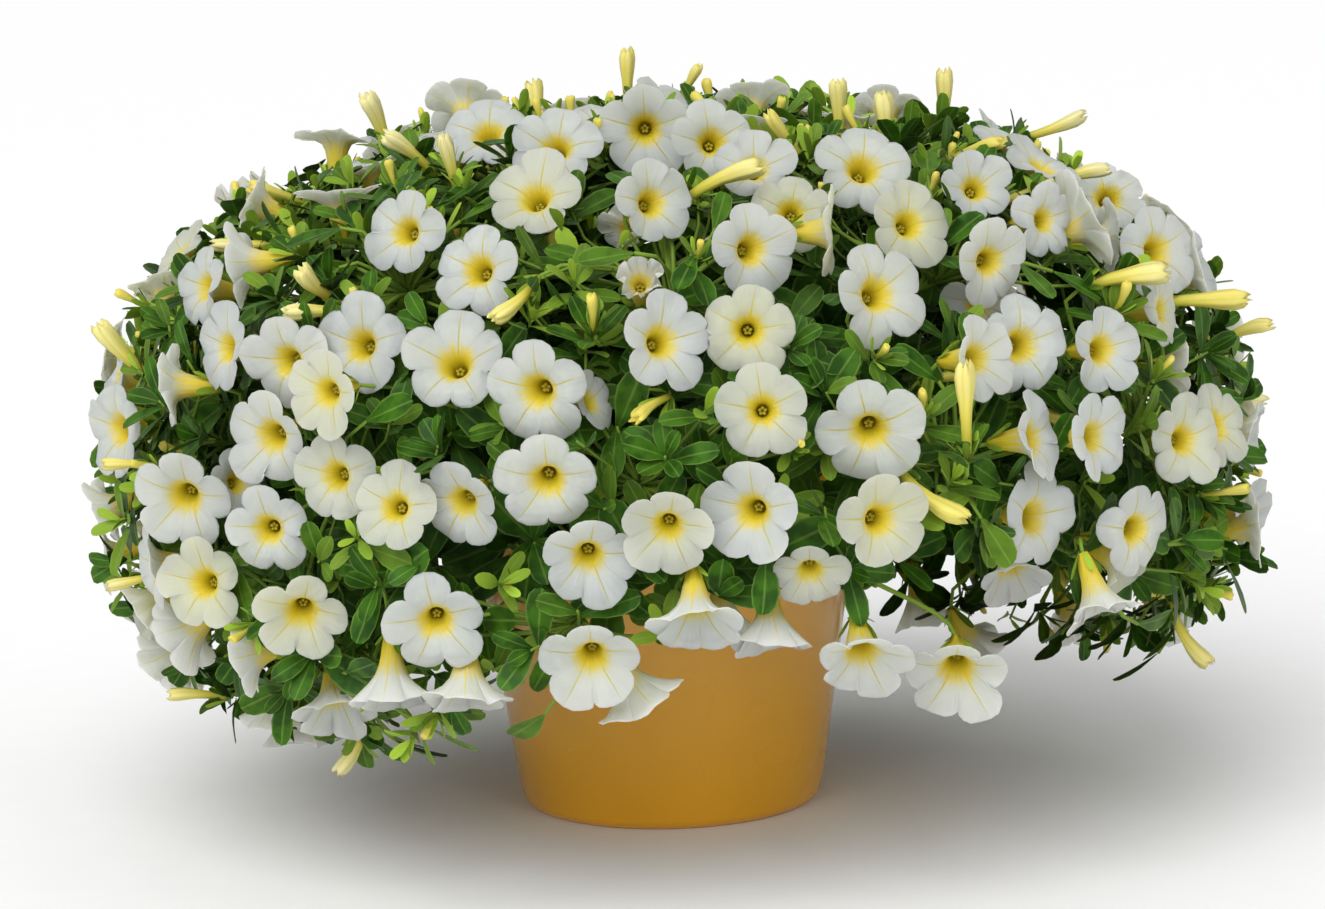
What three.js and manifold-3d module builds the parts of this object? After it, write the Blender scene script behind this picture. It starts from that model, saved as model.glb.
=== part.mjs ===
// A calibrachoa in its pot: one broad dome of open blooms on leafy shoots that fan out of the soil.
// Millimetres, +Z up. The origin is the centre of the pot's underside and the front faces -Y.
//
// Every shoot is one closed body: a stem that swells into a core, with its leaves, blooms and buds joined
// on. Shoots stand in plain holes in the soil and stay clear of each other.

import * as THREE from 'three';
import { mergeVertices } from 'three/addons/utils/BufferGeometryUtils.js';
import Module from 'manifold-3d';

const wasm = await Module();
wasm.setup();

// ---- driving dimensions -------------------------------------------------------------------------

const POT = {
  height: 115, rimRadius: 67, baseRadius: 49, wall: 2.4, floor: 3, baseRound: 4,
  bandHeight: 9, bandStep: 0.9, rimRound: 0.8, sides: 28,
};
const SOIL = { top: 103, gap: 0.4, holeRadius: 3.1, holeDepth: 24, holeSides: 4 };

// The bush fills a rounded dome: a superellipsoid, round in plan, taller above its middle than below.
const DOME = { x: 5, z: 108, radius: 188, up: 119, down: 84, power: 2.5 };

// Rings of shoots from the crown outwards: how many, how far from the pot's axis they stand in the soil,
// how far from upright their ends point, and the turn of the ring's first shoot, in degrees.
const SHOOT_RINGS = [
  { count: 1, foot: 0, lean: 0, turn: 0 },
  { count: 5, foot: 13, lean: 30, turn: 12 },
  { count: 9, foot: 26, lean: 57, turn: 30 },
  { count: 11, foot: 38, lean: 82, turn: 4 },
  { count: 12, foot: 50, lean: 107, turn: 19 },
];
// The bush hangs less low over the front of the pot. The turn at which it is lifted most, and by how many
// degrees its edge and the ends of its lowest shoots are lifted there.
const SKIRT = { turn: -65, edgeLift: 28, shootLift: 14, lowShoots: 90 };
// A shoot bends as its line's two handles say: how long they are, as shares of its span, and how much of
// the lean its first and last stretches already have.
const BEND = { footHandle: 0.42, tipHandle: 0.3, footLean: 0.2, tipLean: 0.95 };
// A core's fullest radius, how deep it stands in the soil, how high over the soil it starts to lean, how
// far under the dome it ends, and the stretch of it that leaves and flowers grow from.
const CORE = {
  radius: 17, sides: 5, root: 21, clear: 3, tipDepth: 17, growsFrom: 0.34, growsTo: 0.9, samples: 13,
};
// Places along a shoot, from soil to tip, and the core's radius there as a share of its fullest.
const CORE_STATIONS = [
  { place: 0, share: 0.11 }, { place: 0.2, share: 0.14 }, { place: 0.45, share: 0.42 },
  { place: 0.72, share: 0.9 }, { place: 0.87, share: 1 }, { place: 1, share: 0 },
];

// A bloom's profile as shares of its radius: a shallow funnel of five notched lobes whose edge rises a
// little, and behind it a collar and a tube that tapers to its heel.
const BLOOM = {
  lobes: 5, lobeHalf: 17, notch: 0.84, rimRise: 0.12, throatDepth: 0.2,
  collar: 0.3, collarDrop: 0.32, tube: 15, tubeRadius: 1.9, tubeRoom: 2.6, spinSpread: 28,
};
// A bud's radii, and their places as shares of its length from its heel. A bud is shorter than a bloom is
// wide by its lengthShare.
const BUD = { neck: 1.7, belly: 3.2, bellyPlace: 0.72, neckPlace: 0.2, lengthShare: 0.8 };
// Leaf blades lie along the dome, a little over it or under it, their tips a spacing apart, and their
// stalks bend up into them from under them.
const LEAF = {
  width: 11, widthSpread: 1.6, blade: 22, widest: 0.62, keel: 1.4, neck: 1.2, over: 3.5, under: 5,
  bendDepth: 5, spacing: 20.6, reachMin: 8, reachMax: 38, candidates: 2400, lowest: 126,
  firstTurn: 0.5, turnSpread: 50,
};
// A stalk's room, how far past a core's middle it is sunk as a share of the core's radius, what it costs
// to point forward, how many roots are tried, and the least volume that holds it.
const STALK = { room: 1, sunk: 0.7, forwardCost: 1.5, tries: 40, hold: 0.3 };
// How far a stalk may point the way its flower faces, or its leaf lies: the cosine of the angle.
const FORWARD = { flower: 0.4, leaf: 0 };
const CLEAR = 1.6;

// Points closer than MERGE are one point, and edges shorter than SLIVER that joining leaves are closed.
const MERGE = 1e-3;
const SLIVER = 0.02;

// The front of the plant is laid out as seen from one point in front of it: column and row on a grid
// 1325 steps wide and 909 high. The eye is so far from the aim point, looks down a little, and the plant
// leans by the roll.
const VIEW = {
  distance: 1400, focal: 4294, pitch: 9, roll: 1.7, aimHeight: 114, column: 662.5, row: 454.5,
};

// Open blooms on the front: column, row, width in mm, turn to the right and tip upwards in degrees, both
// counted from facing the eye. Those in front come before those that they overlap.
const FRONT_BLOOMS = [
  [763, 410, 28, 0, 2], [748, 330, 29, 0, 0], [752, 512, 31, -20, -12], [668, 527, 28, -5, -22],
  [687, 462, 32, -5, -20], [662, 342, 31, 30, 5], [752, 250, 30, 30, -2], [870, 432, 34, 0, -22],
  [878, 294, 33, 30, 8], [909, 224, 28, 25, 12], [863, 168, 32, 12, 25], [547, 481, 31, -5, -22],
  [537, 392, 33, -22, -12], [455, 363, 33, -12, 22], [478, 270, 30, -25, 12], [535, 197, 31, -15, 28],
  [556, 148, 30, -8, 22], [487, 133, 30, -12, 35], [645, 130, 31, 0, -8], [395, 507, 27, -20, 5],
  [335, 476, 28, -28, -5], [360, 345, 31, -28, 5], [287, 362, 30, -30, -10], [271, 437, 31, -30, -15],
  [184, 498, 33, -15, -22], [117, 430, 32, -52, -8], [203, 583, 30, -28, 0], [302, 613, 31, 0, -28],
  [436, 622, 31, 0, -22], [592, 658, 31, 0, -28], [810, 572, 24, 0, -38], [880, 520, 30, 25, -8],
  [990, 262, 28, 30, -10], [1022, 345, 32, 28, -2], [1103, 350, 29, 38, -2], [1095, 437, 29, 52, -4],
  [1035, 438, 29, 62, 0], [1036, 518, 33, 48, -8], [1137, 530, 29, 38, -12], [1185, 440, 29, 35, -2],
  [1158, 250, 31, 35, 5], [1163, 310, 24, 65, -2], [957, 671, 33, -3, -38], [862, 655, 30, 5, -48],
  [462, 503, 28, -25, -22], [268, 530, 28, -15, -10], [588, 557, 29, 0, -22], [754, 168, 26, 5, 22],
  [652, 203, 28, 30, 5], [405, 232, 28, -30, 5], [225, 348, 28, -55, 0], [203, 287, 27, -60, 5],
  [695, 612, 30, 0, -62], [770, 625, 27, 0, -80], [530, 622, 24, 8, -70], [467, 683, 29, 0, -80],
  [392, 680, 28, 0, -80], [632, 687, 30, 90, -68], [153, 567, 30, -72, -12], [172, 385, 28, -95, -5],
  [256, 205, 28, -95, 15], [248, 264, 28, -100, -15], [337, 138, 28, -10, 95], [832, 232, 28, 88, -8],
  [1080, 222, 34, 110, 15], [1170, 362, 26, 105, -10], [1252, 526, 27, 90, 0], [1218, 425, 28, 45, 8],
  [1098, 600, 27, 40, -75], [1120, 562, 26, 60, -35], [1012, 570, 24, 15, -55], [190, 630, 29, -110, -45],
  [252, 655, 27, -95, -25], [326, 393, 27, -32, -10], [452, 240, 28, 75, 8], [791, 212, 25, 0, 15],
  [712, 142, 28, 10, 10], [467, 108, 29, 0, 135], [752, 103, 26, 0, 125], [885, 108, 25, 0, 120],
  [978, 358, 28, 45, 0], [975, 188, 25, 15, 15], [1008, 140, 26, 60, 60], [1043, 165, 28, 60, 50],
  [1197, 272, 29, 75, 10], [1110, 238, 27, 100, -5], [980, 305, 26, 10, -25], [360, 615, 28, 25, -15],
  [285, 645, 31, -12, -40], [722, 614, 26, 5, -85], [630, 545, 26, 20, -15], [592, 402, 20, 60, 10],
  [552, 545, 20, 10, -30], [238, 482, 22, 40, 5], [1000, 215, 25, 25, 0], [1045, 220, 24, 40, 0],
  [628, 228, 20, -20, 0], [640, 283, 20, 0, 20],
];

// Closed buds on the front: column and row of the middle, length in mm, and the way the tip points.
const FRONT_BUDS = [
  [278, 195, 20, -80, 10], [323, 286, 22, -40, 25], [320, 313, 22, -75, -5], [248, 243, 22, -95, -10],
  [130, 355, 28, -80, 40], [378, 130, 26, -50, 60], [410, 155, 22, -60, 30], [452, 170, 24, -30, 60],
  [515, 298, 20, -50, -40], [628, 82, 22, -20, 85], [838, 118, 24, -30, 80], [883, 130, 24, -30, 80],
  [790, 140, 24, -60, 40], [722, 185, 28, 75, 15], [440, 425, 26, -45, -50], [652, 408, 20, -30, -20],
  [955, 376, 22, 80, 0], [966, 410, 28, -10, 75], [963, 292, 28, 75, -8], [1020, 195, 26, 80, 5],
  [975, 152, 20, 60, 10], [1050, 127, 24, 85, 10], [1077, 181, 22, 80, 10], [1125, 279, 26, 85, 0],
  [1155, 283, 28, 80, -5], [1203, 300, 28, 85, -8], [1058, 417, 26, 60, -25], [932, 493, 26, 60, -40],
  [132, 465, 18, -90, -5], [135, 580, 18, -90, -20], [198, 696, 18, -90, -5], [945, 110, 26, -10, 80],
  [690, 85, 16, 60, 50], [1225, 492, 15, 85, 0],
];

// Where the front list does not reach, blooms stand about this far apart, and vary in width and facing.
const FILL = {
  candidates: 900, spacing: 38, frontLimit: 0.12, width: 28, widthSpread: 3, nod: 22,
  budShare: 0.16, lowest: 122, seed: 7,
};
const SETTLE_ALONG_VIEW = [0, 4, 8, -4, 12, 16, -8, 20, 24, 28, -12, 32, 36];
const SETTLE_ALONG_AXIS = [0, -4, 4, -8, 8, -12];

// ---- small helpers ------------------------------------------------------------------------------

const v = (x, y, z) => new THREE.Vector3(x, y, z);
const rad = THREE.MathUtils.degToRad;
const GOLDEN_ANGLE = Math.PI * (3 - Math.sqrt(5));

// The same row of numbers from 0 to 1 on every run, from one whole-number seed: a linear congruential
// generator with the usual 32-bit constants.
function draws(seed) {
  const MODULUS = 2 ** 32;
  const FACTOR = 1664525;
  const STEP = 1013904223;
  let state = seed;
  return () => {
    state = (state * FACTOR + STEP) % MODULUS;
    return state / MODULUS;
  };
}

// Skins a row of rings into one closed body. The first and last rings are one point each. The rings run
// the same way round and may differ in their number of points.
function skin(rings) {
  const points = rings.flat();
  const index = [];
  let start = 0;
  for (let k = 0; k + 1 < rings.length; k += 1) {
    const lower = rings[k].length;
    const upper = rings[k + 1].length;
    const next = start + lower;
    const lowerSteps = lower > 1 ? lower : 0;
    const upperSteps = upper > 1 ? upper : 0;
    let i = 0;
    let j = 0;
    while (i < lowerSteps || j < upperSteps) {
      const stepLower = j >= upperSteps
        || (i < lowerSteps && (i + 0.5) * upperSteps < (j + 0.5) * lowerSteps);
      const a = start + (i % lower);
      const b = next + (j % upper);
      if (stepLower) {
        i += 1;
        index.push(a, start + (i % lower), b);
      } else {
        j += 1;
        index.push(a, next + (j % upper), b);
      }
    }
    start = next;
  }
  const geometry = new THREE.BufferGeometry();
  geometry.setAttribute('position', new THREE.Float32BufferAttribute(points.flatMap((p) => p.toArray()), 3));
  geometry.setIndex(index);
  return geometry;
}

function solid(geometry) {
  const plain = geometry.clone();
  plain.deleteAttribute('normal');
  plain.deleteAttribute('uv');
  const merged = mergeVertices(plain, MERGE);
  return new wasm.Manifold(new wasm.Mesh({
    numProp: 3,
    vertProperties: merged.getAttribute('position').array,
    triVerts: new Uint32Array(merged.getIndex().array),
  }));
}

function geometryOf(body) {
  const { vertProperties, triVerts } = body.getMesh();
  const geometry = new THREE.BufferGeometry();
  geometry.setAttribute('position', new THREE.BufferAttribute(vertProperties, 3));
  geometry.setIndex(new THREE.BufferAttribute(triVerts, 1));
  geometry.computeVertexNormals();
  return geometry;
}

// Whether each edge of a body, its points merged, lies between exactly two faces.
function isClean(body) {
  const plain = geometryOf(body);
  plain.deleteAttribute('normal');
  const index = mergeVertices(plain, MERGE).getIndex().array;
  const faces = new Map();
  for (let corner = 0; corner < index.length; corner += 1) {
    const next = corner % 3 === 2 ? corner - 2 : corner + 1;
    const edge = [index[corner], index[next]].sort((one, other) => one - other).join();
    faces.set(edge, (faces.get(edge) ?? 0) + 1);
  }
  return [...faces.values()].every((count) => count === 2);
}

// Two pieces joined into one body, without the slivers, sealed hollows and loose scraps that it leaves.
function joined(whole, piece) {
  return whole.add(piece).simplify(SLIVER).decompose()
    .reduce((best, body) => (body.volume() > best.volume() ? body : best));
}

// ---- the dome and the view of it ----------------------------------------------------------------

// Less than 0 inside the dome, 0 on it, more outside.
function domeLevel(p) {
  const height = p.z > DOME.z ? DOME.up : DOME.down;
  return (Math.hypot(p.x - DOME.x, p.y) / DOME.radius) ** DOME.power
    + (Math.abs(p.z - DOME.z) / height) ** DOME.power - 1;
}

function domeNormal(p) {
  const height = p.z > DOME.z ? DOME.up : DOME.down;
  const reach = Math.hypot(p.x - DOME.x, p.y);
  const across = (reach / DOME.radius) ** (DOME.power - 1) / DOME.radius;
  const along = (Math.abs(p.z - DOME.z) / height) ** (DOME.power - 1) / height;
  const share = reach > 0 ? across / reach : 0;
  return v((p.x - DOME.x) * share, p.y * share, Math.sign(p.z - DOME.z) * along).normalize();
}

// The point on the dome in the direction of a lean from upright and a turn about the vertical.
function domePoint(lean, turn) {
  const height = Math.cos(lean) > 0 ? DOME.up : DOME.down;
  const reach = ((Math.sin(lean) / DOME.radius) ** DOME.power
    + (Math.abs(Math.cos(lean)) / height) ** DOME.power) ** (-1 / DOME.power);
  return v(
    DOME.x + reach * Math.sin(lean) * Math.cos(turn),
    reach * Math.sin(lean) * Math.sin(turn),
    DOME.z + reach * Math.cos(lean),
  );
}

// How much of the skirt's lift there is at a turn about the vertical, from 0 to 1.
function lifted(turn) {
  return Math.max(0, Math.cos(turn - rad(SKIRT.turn))) ** 2;
}

const PITCH = rad(VIEW.pitch);
const EYE = v(0, -VIEW.distance * Math.cos(PITCH), VIEW.aimHeight + VIEW.distance * Math.sin(PITCH));

function viewRay(column, row) {
  const across = (column - VIEW.column) / VIEW.focal;
  const up = (VIEW.row - row) / VIEW.focal;
  const roll = rad(VIEW.roll);
  const x = across * Math.cos(roll) + up * Math.sin(roll);
  const y = up * Math.cos(roll) - across * Math.sin(roll);
  return v(x, Math.cos(PITCH) + y * Math.sin(PITCH), y * Math.cos(PITCH) - Math.sin(PITCH)).normalize();
}

// Where a line of sight meets the dome, or passes it nearest.
function sight(column, row) {
  const ray = viewRay(column, row);
  const FIRST = 1100;
  const LAST = 1700;
  let best = FIRST;
  let lowest = Infinity;
  for (let t = FIRST; t <= LAST; t += 1) {
    const level = domeLevel(EYE.clone().addScaledVector(ray, t));
    if (level < lowest) {
      lowest = level;
      best = t;
    }
    if (level < 0) break;
  }
  return { point: EYE.clone().addScaledVector(ray, best), ray };
}

// The direction that is turned right and tipped up by so much from facing the eye.
function facing(turn, tip) {
  const rise = rad(tip + VIEW.pitch);
  return v(
    Math.sin(rad(turn)) * Math.cos(rise),
    -Math.cos(rad(turn)) * Math.cos(rise),
    Math.sin(rise),
  );
}

// ---- shoots' cores ------------------------------------------------------------------------------

// A shoot's middle line lies in one upright plane through the crown. It leaves the soil upright, leans
// out, and ends under the dome pointing the way the dome faces there.
function shootLine(ring, turn) {
  const lean = ring.lean - (ring.lean > SKIRT.lowShoots ? SKIRT.shootLift * lifted(turn) : 0);
  const out = v(Math.cos(turn), Math.sin(turn), 0);
  const foot = out.clone().multiplyScalar(ring.foot).setZ(SOIL.top + CORE.clear);
  const surface = domePoint(rad(lean), turn);
  const end = surface.clone().addScaledVector(domeNormal(surface), -CORE.tipDepth);
  const span = end.distanceTo(foot);
  const heading = (angle) => out.clone().multiplyScalar(Math.sin(angle)).setZ(Math.cos(angle));
  const early = foot.clone().addScaledVector(heading(rad(lean * BEND.footLean)), span * BEND.footHandle);
  const late = end.clone().addScaledVector(heading(rad(lean * BEND.tipLean)), -span * BEND.tipHandle);
  return { curve: new THREE.CubicBezierCurve3(foot, early, late, end), out, foot };
}

// The middle and the radius of a core at a place along it: straight from station to station.
function coreAt(curve, place) {
  let k = 1;
  while (k < CORE_STATIONS.length - 1 && CORE_STATIONS[k].place < place) k += 1;
  const from = CORE_STATIONS[k - 1];
  const to = CORE_STATIONS[k];
  const step = (place - from.place) / (to.place - from.place);
  const share = from.share + (to.share - from.share) * step;
  return {
    point: curve.getPoint(from.place).lerp(curve.getPoint(to.place), step),
    radius: CORE.radius * share,
  };
}

const SHOOTS = SHOOT_RINGS.flatMap((ring) => Array.from({ length: ring.count }, (_, k) => {
  const turn = rad(ring.turn + 360 * k / ring.count);
  const line = shootLine(ring, turn);
  const samples = Array.from({ length: CORE.samples }, (_unused, m) => coreAt(
    line.curve,
    CORE.growsFrom + (CORE.growsTo - CORE.growsFrom) * m / (CORE.samples - 1),
  ));
  return { ...line, samples };
}));

function coreGeometry(shoot) {
  const sideways = v(-shoot.out.y, shoot.out.x, 0);
  const ringAt = (middle, along, radius) => {
    const across = new THREE.Vector3().crossVectors(along, sideways).normalize();
    return Array.from({ length: CORE.sides }, (_, k) => {
      const angle = 2 * Math.PI * k / CORE.sides;
      return middle.clone()
        .addScaledVector(sideways, radius * Math.cos(angle))
        .addScaledVector(across, radius * Math.sin(angle));
    });
  };
  const up = v(0, 0, 1);
  const rings = [[shoot.foot.clone().setZ(SOIL.top - CORE.root)]];
  for (const { place } of CORE_STATIONS.slice(0, -1)) {
    const along = place === 0 ? up : shoot.curve.getTangent(place);
    const { point, radius } = coreAt(shoot.curve, place);
    rings.push(ringAt(point, along, radius));
  }
  rings.push([shoot.curve.getPoint(1)]);
  return skin(rings);
}

// ---- blooms and buds ----------------------------------------------------------------------------

// A flower is an open bloom (radius over 0) or a closed bud (radius 0). Its heel is where its tube ends.
function flower(kind, centre, face, size, spin) {
  const open = kind === 'bloom';
  const behind = open ? BLOOM.tube : size / 2;
  return {
    open,
    centre,
    face,
    radius: open ? size / 2 : 0,
    length: open ? 0 : size,
    spin,
    heel: centre.clone().addScaledVector(face, -behind),
    front: centre.clone().addScaledVector(face, open ? 0 : size / 2),
    room: open ? BLOOM.tubeRoom : BUD.belly,
  };
}

function moved(item, shift) {
  return {
    ...item,
    centre: item.centre.clone().add(shift),
    heel: item.heel.clone().add(shift),
    front: item.front.clone().add(shift),
  };
}

// The two directions square to a flower's axis: up and to its right as seen from its front.
function squareTo(face) {
  const across = Math.abs(face.z) > 0.95 ? v(1, 0, 0) : v(0, 0, 1).cross(face).normalize();
  const up = face.clone().cross(across).normalize();
  return { right: up.clone().cross(face).normalize(), up };
}

// How a point lies to a bloom: its height over the limb and its distance from the axis.
function overLimb(bloom, point) {
  const offset = point.clone().sub(bloom.centre);
  const height = offset.dot(bloom.face);
  const reach = Math.sqrt(Math.max(0, offset.lengthSq() - height * height));
  return { height: height - BLOOM.rimRise * Math.min(reach, bloom.radius), reach };
}

// Whether the straight piece from a to b, with so much room round it, passes too near a bloom's limb.
function cutsLimb(bloom, a, b, room) {
  if (!bloom.open) return false;
  const from = overLimb(bloom, a);
  const to = overLimb(bloom, b);
  const near = room + CLEAR;
  if (Math.abs(from.height) < near && from.reach < bloom.radius + near) return true;
  if (Math.abs(to.height) < near && to.reach < bloom.radius + near) return true;
  if (from.height * to.height > 0) return false;
  const share = from.height / (from.height - to.height);
  const crossing = overLimb(bloom, a.clone().lerp(b, share));
  return crossing.reach < bloom.radius + near;
}

// The least distance between the straight pieces a0-a1 and b0-b1.
function pieceDistance(a0, a1, b0, b1) {
  const STEPS = 8;
  let least = Infinity;
  const along = b1.clone().sub(b0);
  const lengthSq = Math.max(along.lengthSq(), 1e-9);
  for (let k = 0; k <= STEPS; k += 1) {
    const point = a0.clone().lerp(a1, k / STEPS);
    const share = Math.min(1, Math.max(0, point.clone().sub(b0).dot(along) / lengthSq));
    least = Math.min(least, point.distanceTo(b0.clone().addScaledVector(along, share)));
  }
  return least;
}

const RIM_POINTS = 12;
function rim(bloom) {
  const { right, up } = squareTo(bloom.face);
  return Array.from({ length: RIM_POINTS }, (_, k) => {
    const angle = 2 * Math.PI * k / RIM_POINTS;
    return bloom.centre.clone()
      .addScaledVector(right, bloom.radius * Math.cos(angle))
      .addScaledVector(up, bloom.radius * Math.sin(angle))
      .addScaledVector(bloom.face, bloom.radius * BLOOM.rimRise);
  });
}

function clash(a, b) {
  const reachA = Math.max(a.radius, a.length / 2) + BLOOM.tube;
  const reachB = Math.max(b.radius, b.length / 2) + BLOOM.tube;
  if (a.centre.distanceTo(b.centre) > reachA + reachB) return false;
  if (pieceDistance(a.front, a.heel, b.front, b.heel) < a.room + b.room + CLEAR) return true;
  if (cutsLimb(a, b.front, b.heel, b.room) || cutsLimb(b, a.front, a.heel, a.room)) return true;
  for (const [one, other] of [[a, b], [b, a]]) {
    if (!one.open || !other.open) continue;
    const edge = rim(one);
    if (edge.some((p, k) => cutsLimb(other, p, edge[(k + 1) % RIM_POINTS], 0))) return true;
    if (edge.some((p, k) => k % 3 === 0 && cutsLimb(other, p, one.centre, 0))) return true;
  }
  return false;
}

function hitsCore(item) {
  return SHOOTS.some((shoot) => shoot.samples.some(({ point, radius }) => {
    if (!item.open) return point.distanceTo(item.centre) < radius + item.room + CLEAR;
    const { height, reach } = overLimb(item, point);
    return Math.abs(height) < radius + CLEAR && reach < item.radius + radius;
  }));
}

// Moves a flower by the first shift that clears those already placed, or leaves it out.
function settle(item, placed, direction, shifts) {
  for (const shift of shifts) {
    const tried = moved(item, direction.clone().multiplyScalar(shift));
    if (!hitsCore(tried) && !placed.some((other) => clash(tried, other))) return tried;
  }
  return null;
}

function placeFlowers() {
  const placed = [];
  const draw = draws(FILL.seed);
  const layOut = (kind, rows) => rows.forEach(([column, row, size, turn, tip]) => {
    const { point, ray } = sight(column, row);
    const item = flower(kind, point, facing(turn, tip), size, (draw() - 0.5) * BLOOM.spinSpread);
    const settled = settle(item, placed, ray, SETTLE_ALONG_VIEW);
    if (settled) placed.push(settled);
  });
  layOut('bloom', FRONT_BLOOMS);
  layOut('bud', FRONT_BUDS);
  const toEye = EYE.clone().setZ(EYE.z - VIEW.aimHeight).normalize();
  for (let k = 0; k < FILL.candidates; k += 1) {
    const lean = Math.acos(1 - (1 - Math.cos(rad(FILL.lowest))) * (k + 0.5) / FILL.candidates);
    const low = lean > rad(FILL.lowest - SKIRT.edgeLift * lifted(k * GOLDEN_ANGLE));
    const point = domePoint(lean, k * GOLDEN_ANGLE);
    const normal = domeNormal(point);
    const [sideways, upwards, wide, kindDraw, spin] = Array.from({ length: 5 }, draw);
    if (low || normal.dot(toEye) > FILL.frontLimit) continue;
    if (placed.some((other) => other.centre.distanceTo(point) < FILL.spacing)) continue;
    const nod = rad(FILL.nod);
    const { right, up } = squareTo(normal);
    const face = normal.clone()
      .addScaledVector(right, Math.tan(nod) * (2 * sideways - 1))
      .addScaledVector(up, Math.tan(nod) * (2 * upwards - 1))
      .normalize();
    const width = FILL.width + FILL.widthSpread * (2 * wide - 1);
    const kind = kindDraw < FILL.budShare ? 'bud' : 'bloom';
    const size = kind === 'bud' ? width * BUD.lengthShare : width;
    const item = flower(kind, point, face, size, (spin - 0.5) * BLOOM.spinSpread);
    const settled = settle(item, placed, normal, SETTLE_ALONG_AXIS);
    if (settled) placed.push(settled);
  }
  return placed;
}

// The places on the cores that a stalk from this point reaches in the clear, the best first: near the
// point, and behind the flower that faces so, or the leaf that lies so.
function rootChoices(from, face, mostForward, flowers, own) {
  const choices = SHOOTS.flatMap((shoot, number) => shoot.samples.map((sample) => {
    const stalk = sample.point.clone().sub(from);
    const reach = stalk.length();
    stalk.normalize();
    const forward = stalk.dot(face);
    const root = sample.point.clone().addScaledVector(stalk, sample.radius * STALK.sunk);
    return { number, sample, root, reach, forward };
  })).filter((choice) => choice.forward < mostForward);
  const cost = ({ reach, forward }) => reach * (1 + STALK.forwardCost * Math.max(0, forward));
  choices.sort((one, other) => cost(one) - cost(other));
  return choices.slice(0, STALK.tries).filter((choice) => {
    const { point } = choice.sample;
    const blocked = flowers.some((other) => other !== own
      && (cutsLimb(other, from, point, STALK.room)
        || pieceDistance(from, point, other.front, other.heel) < other.room + STALK.room + CLEAR));
    const crosses = SHOOTS.some((shoot, number) => number !== choice.number
      && shoot.samples.some((s) => (
        pieceDistance(s.point, s.point, from, point) < s.radius + STALK.room + CLEAR)));
    return !blocked && !crosses;
  });
}

// The ring where a flower or a leaf meets its stalk. It stands square to the line half way between its
// own axis and the stalk, so the tube bends there and doesn't pinch.
function bendRing(middle, face, root, turns, radius, { up } = squareTo(face)) {
  const bend = root.clone().sub(middle).normalize().sub(face).normalize();
  const top = up.clone().addScaledVector(bend, -up.dot(bend)).normalize();
  const right = bend.clone().cross(top);
  return turns.map((turn) => middle.clone()
    .addScaledVector(right, Math.sin(rad(turn)) * radius)
    .addScaledVector(top, Math.cos(rad(turn)) * radius));
}

function bloomGeometry(bloom, root) {
  const { right, up } = squareTo(bloom.face);
  const { radius } = bloom;
  const at = (degrees, reach, rise) => {
    const angle = rad(degrees + bloom.spin);
    return bloom.centre.clone()
      .addScaledVector(right, Math.sin(angle) * reach)
      .addScaledVector(up, Math.cos(angle) * reach)
      .addScaledVector(bloom.face, rise);
  };
  const step = 360 / BLOOM.lobes;
  const lobes = Array.from({ length: BLOOM.lobes }, (_, k) => k * step);
  const limb = lobes.flatMap((turn) => [
    at(turn - step / 2, BLOOM.notch * radius, BLOOM.rimRise * BLOOM.notch * radius),
    at(turn - BLOOM.lobeHalf, radius, BLOOM.rimRise * radius),
    at(turn + BLOOM.lobeHalf, radius, BLOOM.rimRise * radius),
  ]);
  const tubeTurns = [0, 120, 240].map((turn) => turn - step / 2);
  const collar = tubeTurns.map((turn) => at(turn, BLOOM.collar * radius, -BLOOM.collarDrop * radius));
  const heelTurns = tubeTurns.map((turn) => turn + bloom.spin);
  const heel = bendRing(bloom.heel, bloom.face, root, heelTurns, BLOOM.tubeRadius);
  return skin([[at(0, 0, -BLOOM.throatDepth * radius)], limb, collar, heel, [root]]);
}

function budGeometry(bud, root) {
  const turns = [45, 135, 225, 315];
  const middle = (share) => bud.heel.clone().addScaledVector(bud.face, share * bud.length);
  const straightBack = middle(BUD.bellyPlace).addScaledVector(bud.face, -bud.length);
  const belly = bendRing(middle(BUD.bellyPlace), bud.face, straightBack, turns, BUD.belly);
  const neck = bendRing(middle(BUD.neckPlace), bud.face, root, turns, BUD.neck);
  return skin([[bud.front], belly, neck, [root]]);
}

// ---- leaves -------------------------------------------------------------------------------------

// A spatulate blade, flat above and keeled below, on a stalk that bends into it.
function leafGeometry({ root, bend, tip, width }) {
  const along = tip.clone().sub(bend);
  const face = along.clone().normalize();
  const right = domeNormal(tip).cross(face).normalize();
  const up = face.clone().cross(right);
  const middle = bend.clone().addScaledVector(along, LEAF.widest);
  const blade = [
    middle.clone().addScaledVector(right, width / 2),
    middle.clone().addScaledVector(up, -LEAF.keel),
    middle.clone().addScaledVector(right, -width / 2),
  ];
  const neck = bendRing(bend, face, root, [60, 180, 300], LEAF.neck, { up });
  return skin([[tip], blade, neck, [root]]);
}

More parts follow.
